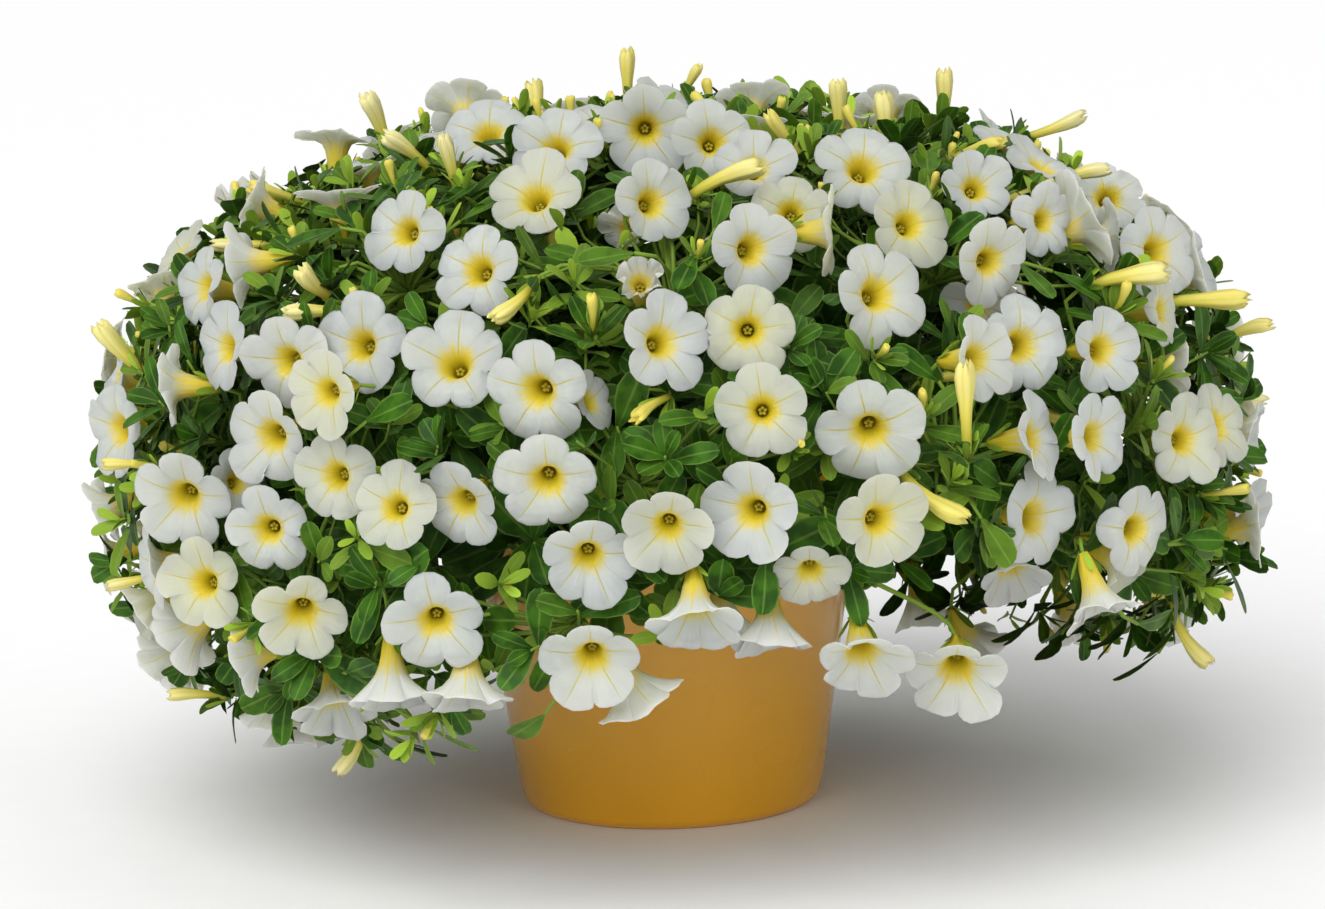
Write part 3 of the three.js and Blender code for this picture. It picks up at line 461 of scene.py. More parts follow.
def tubes(paths, radii, around):
    """Closed round tubes: at each of a path's points a ring of its radius, square to the path. Ends close
    in a pole at the path's own end points."""
    chord = unit(paths[:, -1] - paths[:, 0])
    reference = np.where(np.abs(chord[:, 2:3]) > STEEP_PATH, np.array([1.0, 0, 0]), np.array([0, 0, 1.0]))
    reference = unit(np.cross(chord, reference))[:, None]
    tangent = unit(np.gradient(paths, axis=1))
    side = unit(reference - dot(reference, tangent)[..., None] * tangent)
    up = np.cross(tangent, side)
    turn = (2 * np.pi * np.arange(around) / around)[:, None]
    rings = paths[:, :, None] + radii[:, :, None, None] * (
        np.cos(turn) * side[:, :, None] + np.sin(turn) * up[:, :, None])
    return closed_points(paths[:, 0], rings, paths[:, -1]), closed_faces(paths.shape[1], around)


def stalks(paths, radii, around, age):
    """Round tubes along the paths, with the values that a leaf has on its rib: points, faces and values."""
    points, faces = tubes(paths, np.broadcast_to(radii, paths.shape[:2]), around)
    shape = points.shape[:2]
    values = {"across": np.zeros(shape), "along": np.full(shape, 0.5), "age": np.full(shape, age)}
    return points, faces, values


# A blade's rings: place along it, share of its width, and where a ring's four points stand across and up.
LEAF_PLACES = np.array([0.02, 0.2, 0.42, 0.65, 0.86, 0.965])
LEAF_SHARES = np.array([0.13, 0.42, 0.83, 1, 0.84, 0.5])
LEAF_ACROSS = np.array([1, 0, -1, 0])
LEAF_THICK = np.array([0, 0.5, 0, -0.5])
# A rib is at most so many mm deep, and its leaf at least so many times as wide.
LEAF_THICKEST, LEAF_SLENDER = 0.32, 12


def leaves(base, along, up, length, width, curl, fold, age):
    """Spatulate blades. The middle line runs length * (s * along - curl * s * s * up); at each place s the
    half width is a share of width / 2 that is largest near 0.6 and rounds off at the tip; the halves rise
    from the rib by fold times their distance from it. The underside is one rib deep."""
    right = unit(np.cross(up, along))
    up = np.cross(along, right)
    s = LEAF_PLACES[None, :, None]
    bowed = s * along[:, None] - curl[:, None, None] * s**2 * up[:, None]
    middle = base[:, None] + length[:, None, None] * bowed
    half = (width[:, None] / 2 * LEAF_SHARES)[:, :, None]
    thick = np.minimum(LEAF_THICKEST, width / LEAF_SLENDER)[:, None, None]
    height = fold[:, None, None] * half * np.abs(LEAF_ACROSS) + thick * LEAF_THICK
    rings = (middle[:, :, None] + (half * LEAF_ACROSS)[..., None] * right[:, None, None]
             + height[..., None] * up[:, None, None])
    tip = base + length[:, None] * (along - curl[:, None] * up)
    values = {
        "across": closed_values(rings, 0, LEAF_ACROSS, 0),
        "along": closed_values(rings, 0, LEAF_PLACES[:, None], 1),
        "age": closed_values(rings, age, age[:, None, None], age),
    }
    return closed_points(base, rings, tip), closed_faces(len(LEAF_PLACES), len(LEAF_ACROSS)), values


# A corolla's profile from the bottom of its throat over the front to the rim, and back over the outside to
# its heel: distance from the axis and height over the limb's plane, as shares of its radius, and how much
# of the lobes' outline the ring follows. The last rings, on the tube, are in mm.
FRONT_PROFILE = np.array([
    [0.07, -0.78, 0], [0.115, -0.52, 0], [0.165, -0.32, 0], [0.225, -0.18, 0], [0.31, -0.075, 0.05],
    [0.44, -0.01, 0.25], [0.62, 0.035, 0.6], [0.81, 0.075, 0.88], [0.94, 0.105, 1], [1.0, 0.12, 1],
])
BACK_PROFILE = np.array([
    [0.985, 0.1, 1], [0.78, 0.045, 0.84], [0.52, -0.03, 0.4], [0.36, -0.13, 0.1], [0.275, -0.3, 0],
    [0.23, -0.5, 0],
])
LIMB_PROFILE = np.vstack([FRONT_PROFILE, BACK_PROFILE])
TUBE_PROFILE = np.array([[2.7, -9.8], [2.2, -12.6], [1.6, -14.6]])
# How deep the throat's pole lies, in radii, the height of the tube's ribs as a share of its radius, and how
# far apart the patterns of a white and a cream bloom are read.
THROAT_BOTTOM, TUBE_RIBS, TINT_APART = 0.86, 0.05, 9
# Where the points of half a lobe stand, from its rib at 0 to its notch at 1: closer towards the notch.
HALF_LOBE = np.array([0, 0.32, 0.6, 0.82, 0.955])
# The same for the smaller blooms behind, which have fewer faces.
PLAIN_HALF_LOBE = np.array([0, 0.5, 0.87])
# How much blooms differ: how far in the notches reach, how much bigger a lobe is, how far its tip rises, how
# far the limb curls back at most, and how far it bends like a saddle at most.
NOTCHES, LOBE_SIZES, LOBE_TIPS, CURL, SADDLE = (0.69, 0.8), (-0.1, 0.04), (-0.22, 0.13), 0.2, 0.1
# The powers that round the lobes and cut the notches between them.
LOBE_ROUND, LOBE_CUT = 2.4, 0.62
# Where the limb begins, as a share of the radius, how far it's puffed up and how much of that is taken back.
LIMB_FROM, PUFF, PUFF_LEVEL = 0.3, 0.03, 0.55
# Ruffles: how many waves go round the rim, and how far they reach out and up.
RUFFLE_WAVES, RUFFLE_OUT, RUFFLE_UP = (7, 12), 0.012, 0.03
# A bell's rim narrows by this share of how far it's drawn forwards. A wilted limb folds up and inwards, and
# its ruffles add to both.
BELL_IN, WILT_UP, WILT_UP_RUFFLE, WILT_IN, WILT_IN_RUFFLE = 0.12, 0.55, 0.3, 0.3, 0.12


def limbs(u, lobe, turn, wilt, cone, rng):
    """How far out and how high the rings of the limbs stand, in shares of their radius. In plan, a ring's
    radius is its profile's share times n + (1 - n) * (1 - |u| ** 2.4) ** 0.62, where n is how far in the
    notches reach and u goes from -1 at one notch over 0 at a lobe's rib to 1 at the next notch, which rounds
    the lobes and cuts the notches sharp. The limb is puffed up between its ribs and notches and creased along
    both, each lobe tips and curls by its own amount, the whole limb bends like a saddle, a cone draws it
    forwards into a bell, and a wilted limb crumples and folds forwards."""
    count = len(wilt)
    share, rise, follows = (LIMB_PROFILE[None, :, None, column] for column in range(3))
    notch = rng.uniform(*NOTCHES, (count, 1))
    lobe_size = 1 + rng.uniform(*LOBE_SIZES, (count, LOBES))
    lobe_tip = rng.uniform(*LOBE_TIPS, (count, LOBES))
    curl = rng.uniform(0, CURL, (count, 1))
    saddle, saddle_turn = rng.uniform(0, SADDLE, (count, 1)), rng.uniform(0, np.pi, (count, 1))
    phase = rng.uniform(0, 2 * np.pi, (count, 2, 1))
    ruffle = sum(np.sin(waves * turn + phase[:, k]) for k, waves in enumerate(RUFFLE_WAVES)) / 2

    lobes = notch + (1 - notch) * (1 - np.abs(u) ** LOBE_ROUND) ** LOBE_CUT
    outline = lobes * lobe_size[:, lobe] * (1 + RUFFLE_OUT * ruffle)
    outline = 1 + follows * (outline[:, None] - 1)
    limb = np.clip((share - LIMB_FROM) / (1 - LIMB_FROM), 0, 1)
    puffed = np.sin(np.pi * np.abs(u)) - PUFF_LEVEL
    ruffle, cone, crumple = ruffle[:, None], cone[:, None, None], wilt[:, None, None]
    height = (rise + PUFF * puffed * np.sin(np.pi * limb**0.7)
              + (lobe_tip[:, lobe] * (1 - u**2))[:, None] * limb**1.5
              + (saddle * np.cos(2 * (turn - saddle_turn)))[:, None] * limb
              + (cone - curl[:, None] * limb**2) * limb
              + RUFFLE_UP * ruffle * limb**2)
    height = height + crumple * limb * (WILT_UP + WILT_UP_RUFFLE * ruffle)
    narrowed = 1 - BELL_IN * cone * limb - crumple * (WILT_IN + WILT_IN_RUFFLE * ruffle) * limb
    return share * outline * narrowed, height


def corollas(centre, face, radius, spin, tint, wilt, cone, half_lobe, rng):
    """Open flowers, each one closed skin: rings round the flower's axis run up the throat, over the limb's
    front to the rim and back over its outside, with the form that limbs gives, and down the tube to its
    heel."""
    half = len(half_lobe)
    u = np.tile(np.concatenate([half_lobe, [1], -half_lobe[:0:-1]]), LOBES)
    lobe = np.repeat(np.arange(LOBES), 2 * half) + np.tile(np.arange(2 * half) > half, LOBES)
    turn = LOBE_TURN * (lobe + u / 2)
    limb_reach, limb_height = limbs(u, lobe % LOBES, turn, wilt, cone, rng)
    size = radius[:, None, None]
    tube = (len(centre), len(TUBE_PROFILE), len(u))
    tube_reach = np.broadcast_to(TUBE_PROFILE[:, :1] * (1 + TUBE_RIBS * np.cos(np.pi * u)), tube)
    out = np.concatenate([limb_reach * size, tube_reach], 1)
    over = np.concatenate([limb_height * size, np.broadcast_to(TUBE_PROFILE[:, 1:], tube)], 1)
    spoke = spokes(turn + np.radians(spin)[:, None], face)[:, None]
    rings = centre[:, None, None] + out[..., None] * spoke + over[..., None] * face[:, None, None]
    bottom, heel = centre - face * THROAT_BOTTOM * radius[:, None], centre - face * TUBE_LENGTH

    # a bloom's streaks are read at its rim's directions, at a height of its own, so that no two are alike
    local = np.stack([np.sin(turn), np.cos(turn), 0 * turn], -1)
    local = local + np.stack([0 * spin, 0 * spin, tint * TINT_APART + spin], -1)[:, None]
    local = np.broadcast_to(local[:, None], rings.shape)
    shares = np.broadcast_to(LIMB_PROFILE[:, :1], limb_reach.shape)
    is_back = np.arange(out.shape[1])[:, None] >= len(FRONT_PROFILE)
    values = {
        "reach": closed_values(rings, 0, np.concatenate([shares, tube_reach / size], 1), 0),
        "from_rib": closed_values(rings, 1, np.abs(u), 1),
        "back": closed_values(rings, 0, is_back, 1),
        "tint": closed_values(rings, tint, tint[:, None, None], tint),
        "wilt": closed_values(rings, wilt, wilt[:, None, None], wilt),
        "spoke": closed_points(local[:, 0, 0], local, local[:, 0, 0]),
    }
    return closed_points(bottom, rings, heel), closed_faces(out.shape[1], len(u)), values


# A bud's profile: place along it and share of its greatest radius.
BUD_PROFILE = np.array([
    [0.0, 0.42], [0.12, 0.5], [0.32, 0.54], [0.52, 0.64], [0.7, 0.84], [0.84, 1.0], [0.94, 1.0], [0.99, 0.66],
])
# Its pleats, how far they twist from heel to tip, where 2 pi is one pleat's width, and how deep they are.
PLEATS, PLEAT_TWIST, PLEAT_DEPTH = 5, 1.8, 0.24
# How far the tube bows, in lengths, and how deep the head is dented.
BUD_BOW, BUD_DENT = 0.035, 0.16
# Where the head closes: from this place on, over this length, and by how much.
HEAD_FROM, HEAD_LENGTH, HEAD_CLOSING = 0.7, 0.3, (0.1, 0.55)
# How uneven the lobes' ends are, by their pleats and at random, and how high the hollow between them is.
END_PLEATS, END_RAGGED, HOLLOW = 0.045, 0.03, 0.38


def folded_buds(centre, face, length, belly, spin, tint, around, rng):
    """Closed buds: a narrow tube that widens to a blunt head on the flower's axis, with five pleats that
    deepen to the tip and twist by a quarter of their width. The tube bows sideways, the head is dented and
    closes by an amount of its own, and the folded lobes' ends stand up unevenly round a hollow in its
    middle."""
    place, share = BUD_PROFILE.T
    count = len(length)
    turn = 2 * np.pi * np.arange(around) / around
    pleated = np.cos(PLEATS * turn + PLEAT_TWIST * place[:, None])
    bow, phase = rng.normal(0, BUD_BOW, (count, 2)), rng.uniform(0, 2 * np.pi, (count, 1, 1))
    dents = 1 + BUD_DENT * place[:, None] ** 2 * np.sin(2 * turn + phase)
    closing = rng.uniform(*HEAD_CLOSING, (count, 1)) * np.clip((place - HEAD_FROM) / HEAD_LENGTH, 0, 1) ** 2
    radius = (belly[:, None] * share * (1 - closing))[:, :, None]
    radius = radius * (1 + PLEAT_DEPTH * place[:, None] * pleated) * dents
    right, up = square_to(face)
    middle = centre[:, None] + face[:, None] * ((place - 0.5) * length[:, None])[..., None]
    bowed = 4 * place * (1 - place) * length[:, None]
    middle = middle + bowed[..., None] * (bow[:, :1] * right + bow[:, 1:] * up)[:, None]
    ragged = END_PLEATS * pleated + rng.uniform(-END_RAGGED, END_RAGGED, (count, 1, around))
    raised = (ragged * place[:, None] ** 6 * length[:, None, None])[..., None] * face[:, None, None]
    spoke = spokes(np.radians(spin)[:, None] - turn, face)[:, None]
    rings = middle[:, :, None] + radius[..., None] * spoke + raised
    values = {
        "along": closed_values(rings, 0, place[:, None], 1),
        "pleat": closed_values(rings, 0, 0.5 - 0.5 * pleated, 0),
        "tint": closed_values(rings, tint, tint[:, None, None], tint),
    }
    heel, hollow = centre - face * length[:, None] / 2, centre + face * length[:, None] * HOLLOW
    return closed_points(heel, rings, hollow), closed_faces(len(place), around), values


def grains(centre, face, length, radius, around=6):
    """Small six-sided bodies, such as anthers: two rings, a half of the length apart, between two poles."""
    turn = -2 * np.pi * np.arange(around) / around
    places = np.array([-0.25, 0.25])[:, None, None]
    spoke = spokes(turn, face)[:, None]
    rings = centre[:, None, None] + radius * spoke + length * places * face[:, None, None]
    first, last = (centre + side * length / 2 * face for side in (-1, 1))
    values = {"along": closed_values(rings, 0.5, 0.5, 0.5)}
    return closed_points(first, rings, last), closed_faces(2, around), values


def turned_rings(profile, around):
    """A profile of (radius, height) turned about Z: (places, around, 3)."""
    turn = 2 * np.pi * np.arange(around) / around
    ring = np.stack([np.cos(turn), np.sin(turn), 0 * turn], -1)
    return profile[:, None, 0:1] * ring + np.array([0, 0, 1.0]) * profile[:, None, 1:2]


# ---- meshes ----

# Edges that turn by more than this many degrees, such as the rims of leaves and petals, stay sharp.
SHARP_ANGLE = 110


def add_piece(name, parts, materials, slot, *nodes):
    """One object from parts of (points, (quads, triangles), values, material number). Points are in mm,
    (copies, points, 3), and every copy has the same faces."""
    points, corners, starts, numbers, values = [], [], [], [], {}
    first_point = first_corner = 0
    for shapes, faces, given, number in parts:
        copies, size = shapes.shape[:2]
        points.append(shapes.reshape(-1, 3))
        shift = first_point + size * np.arange(copies)[:, None, None]
        for group in faces:
            placed = (group[None] + shift).reshape(-1, group.shape[1])
            starts.append(first_corner + group.shape[1] * np.arange(len(placed)))
            numbers.append(np.full(len(placed), number))
            corners.append(placed.ravel())
            first_corner += placed.size
        for key, value in given.items():
            values.setdefault(key, []).append((first_point, value))
        first_point += copies * size
    points, corners = np.concatenate(points) * MM, np.concatenate(corners)
    starts, numbers = np.concatenate(starts), np.concatenate(numbers)
    mesh = bpy.data.meshes.new(name)
    mesh.vertices.add(len(points))
    mesh.vertices.foreach_set("co", points.ravel().astype(np.float32))
    mesh.loops.add(len(corners))
    mesh.loops.foreach_set("vertex_index", corners.astype(np.int32))
    mesh.polygons.add(len(starts))
    mesh.polygons.foreach_set("loop_start", starts.astype(np.int32))
    for material in materials:
        mesh.materials.append(material)
    mesh.polygons.foreach_set("material_index", numbers.astype(np.int32))
    for key, pieces in values.items():
        is_vector = pieces[0][1].ndim == 3
        data = np.zeros((len(points), 3 if is_vector else 1), np.float32)
        for start, value in pieces:
            rows = value.reshape(-1, data.shape[1])
            data[start:start + len(rows)] = rows
        attribute = mesh.attributes.new(key, "FLOAT_VECTOR" if is_vector else "FLOAT", "POINT")
        attribute.data.foreach_set("vector" if is_vector else "value", data.ravel())
    mesh.update(calc_edges=True)
    mesh.validate()
    mesh.shade_smooth()
    mesh.set_sharp_from_angle(angle=math.radians(SHARP_ANGLE))
    piece = bpy.data.objects.new(name, mesh)
    bpy.context.scene.collection.objects.link(piece)
    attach(piece, "root")
    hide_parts(*nodes)
    return piece


def add_to_shoots(kind, groups, materials, slot):
    """One piece to each shoot, from groups of (the shoot of each copy, points, faces, values, material
    number)."""
    for number, name in enumerate(SHOOT_NODES):
        parts = []
        for shoots, points, faces, values, material in groups:
            mine = shoots == number
            if mine.any():
                its_values = {key: value[mine] for key, value in values.items()}
                parts.append((points[mine], faces, its_values, material))
        if parts:
            add_piece(f"{kind}_{number + 1:02d}", parts, materials, slot, name)


# ---- materials ----

# The nodes in use: each one's kind, its settings, the inputs that its links fill in order, and its output.
NODES = {
    "shader": ("BsdfPrincipled", {}, (), 0),
    "surface": ("OutputMaterial", {}, ("Surface",), None),
    "value": ("Attribute", {}, (), "Fac"),
    "direction": ("Attribute", {}, (), "Vector"),
    "place": ("TexCoord", {}, (), "Object"),
    "noise": ("TexNoise", {}, ("Vector", "Scale", "Detail"), 0),
    "upright": ("CombineXYZ", {}, ("Z",), 0),
    "vector_sum": ("VectorMath", {"operation": "ADD"}, (0, 1), 0),
    "smooth_step": ("MapRange", {"interpolation_type": "SMOOTHSTEP"}, (0, 1, 2, 3, 4), 0),
    "mix": ("Mix", {"data_type": "RGBA"}, (0, 6, 7), 2),
    "bump": ("Bump", {}, ("Height", "Distance", "Strength"), 0),
    **{name.lower(): ("Math", {"operation": name}, (0, 1, 2), 0) for name in (
        "ADD", "SUBTRACT", "MULTIPLY", "MULTIPLY_ADD", "MAXIMUM", "ABSOLUTE")},
}


def linear(colour):
    """An sRGB colour as #rrggbb turned to linear red, green, blue and alpha."""
    parts = [int(colour[k:k + 2], 16) / 255 for k in (1, 3, 5)]
    return (*(c / 12.92 if c <= 0.04045 else ((c + 0.055) / 1.055) ** 2.4 for c in parts), 1)


def node(tree, name, *links, sockets=None, **settings):
    """Adds a node that NODES tells of and gives its output. links fill its inputs in order and sockets fill
    others by name, each with a number, a colour as #rrggbb or another node's output."""
    kind, usual, inputs, output = NODES[name]
    made = tree.nodes.new("ShaderNode" + kind)
    for key, value in {**usual, **settings}.items():
        setattr(made, key, value)
    for key, value in [*zip(inputs, links), *(sockets or {}).items()]:
        if isinstance(value, bpy.types.NodeSocket):
            tree.links.new(value, made.inputs[key])
        else:
            made.inputs[key].default_value = linear(value) if isinstance(value, str) else value
    return made.outputs[output] if made.outputs else None


def per_metre(width):
    """The scale of a pattern whose marks are so many mm wide."""
    return 1 / (width * MM)


def new_material(name):
    """An empty material, and the function that adds a node to it."""
    material = bpy.data.materials.new(name)
    material.use_nodes = True
    material.node_tree.nodes.clear()
    return material, partial(node, material.node_tree)


def petal_material(colours):
    """Calibrachoa petal: thin living tissue, velvety and half translucent, white to cream, with a yellow rib
    down each lobe and a yellow throat, with painted shade that darkens its bottom to olive."""
    material, add = new_material("Petal")
    reach, from_rib, back, tint, wilt = (
        add("value", attribute_name=name) for name in ("reach", "from_rib", "back", "tint", "wilt"))
    # streaks that run outwards, 5/3 mm wide at the rim of a bloom 15 mm in radius
    drawn_out = add("upright", add("multiply", reach, 0.25))
    at = add("vector_sum", add("direction", attribute_name="spoke"), drawn_out)
    streaks = add("noise", at, 15 / (5 / 3), 3.0)
    edge = add("add", reach, add("multiply_add", streaks, 0.36, -0.18))

    body = add("mix", tint, colours.petal_white, colours.petal_cream)
    body = add("mix", add("smooth_step", streaks, 0.56, 0.72, 0.0, 0.22), body, "#b0b5a6")
    off_rib = add("multiply", from_rib, add("multiply", reach, 0.63))
    fading = add("smooth_step", reach, 0.98, 0.55, 0.3, 0.9)
    rib = add("multiply", add("smooth_step", off_rib, 0.02, 0.006), fading)
    body = add("mix", rib, body, colours.rib)
    # the halo round the throat, then the throat itself, then painted shade that darkens its bottom to a
    # deeper, olive yellow
    body = add("mix", add("smooth_step", edge, 0.45, 0.2, 0.0, 0.95), body, colours.throat)
    # painted shade: the inside of the funnel's bottom is darkened towards olive
    deep = add("multiply", add("smooth_step", reach, 0.24, 0.08), add("subtract", 1.0, back))
    body = add("mix", deep, body, colours.painted_throat_shade)
    # wilted petals turn brown in streaks
    browned = add("multiply", wilt, add("smooth_step", streaks, 0.45, 0.7, 0.1, 0.6))
    body = add("mix", browned, body, "#c7b078")
    ribbed = add("subtract", streaks, add("multiply", rib, 0.5))
    add("surface", add("shader", sockets={
        "Base Color": body, "Normal": add("bump", ribbed, 0.3 * MM, 0.6), "Roughness": 0.55, "IOR": 1.4,
        "Subsurface Weight": 1.0, "Subsurface Scale": 3 * MM, "Subsurface Radius": (1.0, 0.97, 0.8),
    }))
    return material


def leaf_material(colours):
    """Calibrachoa leaf: matt green tissue under fine sticky hairs, which give it a faint pale sheen."""
    material, add = new_material("Hairy leaf")
    place = add("place")
    # blotches 6.25 mm wide, and a grain of 0.625 mm for the hairs' feet
    blotch = add("noise", place, per_metre(6.25), 2.0)
    grain = add("noise", place, per_metre(0.625), 1.0)
    from_rib = add("absolute", add("value", attribute_name="across"))
    body = add("mix", add("smooth_step", blotch, 0.35, 0.65), colours.leaf_dark, colours.leaf)
    new_growth = add("smooth_step", add("value", attribute_name="age"), 0.08, 0.9)
    body = add("mix", new_growth, body, colours.leaf_new)
    # the rib is a pale line and the rim, where the hairs stand out, a paler one
    pale = add("maximum", add("smooth_step", from_rib, 0.14, 0.03, 0.0, 0.25),
               add("smooth_step", from_rib, 0.82, 1.0, 0.0, 0.32))
    body = add("mix", pale, body, "#8fac50")
    raised = add("subtract", add("multiply", grain, 0.4), pale)
    add("surface", add("shader", sockets={
        "Base Color": body, "Normal": add("bump", raised, 0.25 * MM, 0.7), "Roughness": 0.5, "IOR": 1.4,
        "Specular IOR Level": 0.2, "Sheen Weight": 0.03, "Sheen Roughness": 0.4,
    }))
    return material


def bud_material(colours):
    """Folded corolla: the outside of young petals, pale yellow with greener pleats and heel."""
    material, add = new_material("Folded petal")
    along, pleat, tint = (add("value", attribute_name=name) for name in ("along", "pleat", "tint"))
    body = add("mix", add("smooth_step", along, 0.15, 0.6), "#b9b23a", colours.bud)
    body = add("mix", add("multiply", tint, add("smooth_step", along, 0.4, 0.9)), body, "#e4dda2")
    body = add("mix", add("smooth_step", pleat, 0.6, 1.0, 0.0, 0.45), body, "#c8bb3c")
    add("surface", add("shader", sockets={
        "Base Color": body, "Normal": add("bump", pleat, 0.2 * MM, 0.5), "Roughness": 0.5, "IOR": 1.4,
        "Subsurface Weight": 0.12, "Subsurface Scale": 2 * MM,
    }))
    return material


def anther_material(colours):
    """Pollen: dry and granular, greenish yellow, with painted shade between the grains, which are 0.4 mm
    wide.
    """
    material, add = new_material("Pollen")
    grain = add("noise", add("place"), per_metre(0.4), 1.0)
    # painted shade: where the grain pattern, also the bump's height, is low, the colour is darker
    body = add("mix", add("smooth_step", grain, 0.35, 0.6), "#7d7414", colours.anther)
    add("surface", add("shader", sockets={
        "Base Color": body, "Normal": add("bump", grain, 0.1 * MM), "Roughness": 0.9, "IOR": 1.4}))
    return material


def pot_material(colours):
    """Injection-moulded polypropylene, dyed ochre: glossy, with the faint waviness of a moulded wall."""
    material, add = new_material("Glossy polypropylene")
    # clouds 40 mm wide in the dye, and a moulded ripple 100/11 mm wide
    place = add("place")
    cloud = add("noise", place, per_metre(40), 2.0)
    ripple = add("noise", place, per_metre(100 / 11), 1.0)
    add("surface", add("shader", sockets={
        "Base Color": add("mix", cloud, colours.pot_shade, colours.pot),
        "Roughness": add("smooth_step", cloud, 0.3, 0.7, 0.2, 0.28), "IOR": 1.49,
        "Normal": add("bump", ripple, 0.2 * MM, 0.25), "Coat Weight": 0.35, "Coat Roughness": 0.12,
    }))
    return material


def soil_material(_colours):
    """Peat potting mix: dark brown crumbs, 2.5 mm wide, and paler bark fibres, quite matt."""
    material, add = new_material("Peat")
    crumb = add("noise", add("place"), per_metre(2.5), 5.0)
    body = add("mix", add("smooth_step", crumb, 0.35, 0.65), "#1c140e", "#4a3524")
    body = add("mix", add("smooth_step", crumb, 0.68, 0.74), body, "#8f7753")
    add("surface", add("shader", sockets={
        "Base Color": body, "Normal": add("bump", crumb, 1.5 * MM), "Roughness": 0.95, "IOR": 1.4}))
    return material


def paper_material():
    """Studio paper: matt, white, with faint fibres 50/3 mm wide."""
    material, add = new_material("Matt paper")
    fibre = add("noise", add("place"), per_metre(50 / 3), 3.0)
    add("surface", add("shader", sockets={
        "Base Color": add("mix", fibre, "#f8f8f8", "#fcfcfc"), "Roughness": 0.9, "IOR": 1.4}))
    return material


# ---- where everything stands ----

# Late blooms: how deep under the dome they stand, how wide they are, how much their faces stray from the
# dome's normal, the turn of the first place that is tried, and one cream bloom in so many.
LATE_DEPTHS, LATE_SIZES, LATE_STRAY, LATE_FIRST_TURN, LATE_CREAM = (1, 6), (25, 29), 0.3, 0.7, 3
# Young buds in the hearts of tufts: their sizes, their share, and how new the tuft is at least.
YOUNG_SIZES, YOUNG_SHARE, YOUNG_NEWNESS = (7, 13), 0.3, 0.2
# What stays clear of a bloom: behind and before its limb, within shares of its radius, and round its tube.
ROOM_BEHIND, ROOM_BEFORE, LIMB_REACH, FACE_REACH, TUBE_RADIUS, TUBE_ROOM = 3.4, 32, 1.02, 0.97, 4.0, 2.0
# The funnel's part of a corolla's profile, and the points of a line when it's held against the blooms.
FUNNEL_REACH, FUNNEL_RISE = FRONT_PROFILE[:6, :2].T
LINE_POINTS = 5
# A twig's handles, in shares of its span, and how much longer it counts if it has to come from the front.
TWIG_HANDLE, FRONT_COST = 0.35, 1.5
# Leaves keep clear of what lies between these radii, up to this height.
POT_OUTSIDE, POT_INSIDE, POT_TOP = 70, 62, 117
# Layers of tufts: the setting that counts them, their depth under the dome, how much it differs, and the
# number of each one's leaves.
TUFT_LAYERS = [
    ("tufts", 6, 5, 8), ("inner_tufts", 22, 8, 6), ("deep_tufts", 46, 14, 5), ("core_tufts", 82, 20, 4),
]
# The turn of the first tuft, how far tufts shift along the dome in mm, how much their axes stray from its
# normal, and how much they turn upwards.
TUFT_FIRST_TURN, TUFT_SHIFT, TUFT_STRAY, TUFT_RISE = 1.3, 3, 0.3, 0.25
# New growth is this rare on the bush's sides, so much less rare on top, and there is none this deep.
NEW_RARE, NEW_ON_TOP, NEW_DEPTH = 2.1, 1.5, 60
# At this depth leaves are twice as long.
LONG_DEPTH = 120
# Tufts' twigs, in the same terms as stems and stalks below, and the points worked out to a ring.
TUFT_TWIG, TWIG_POINTS = (0.75, 0.45, 5, 4, 0.4), 3


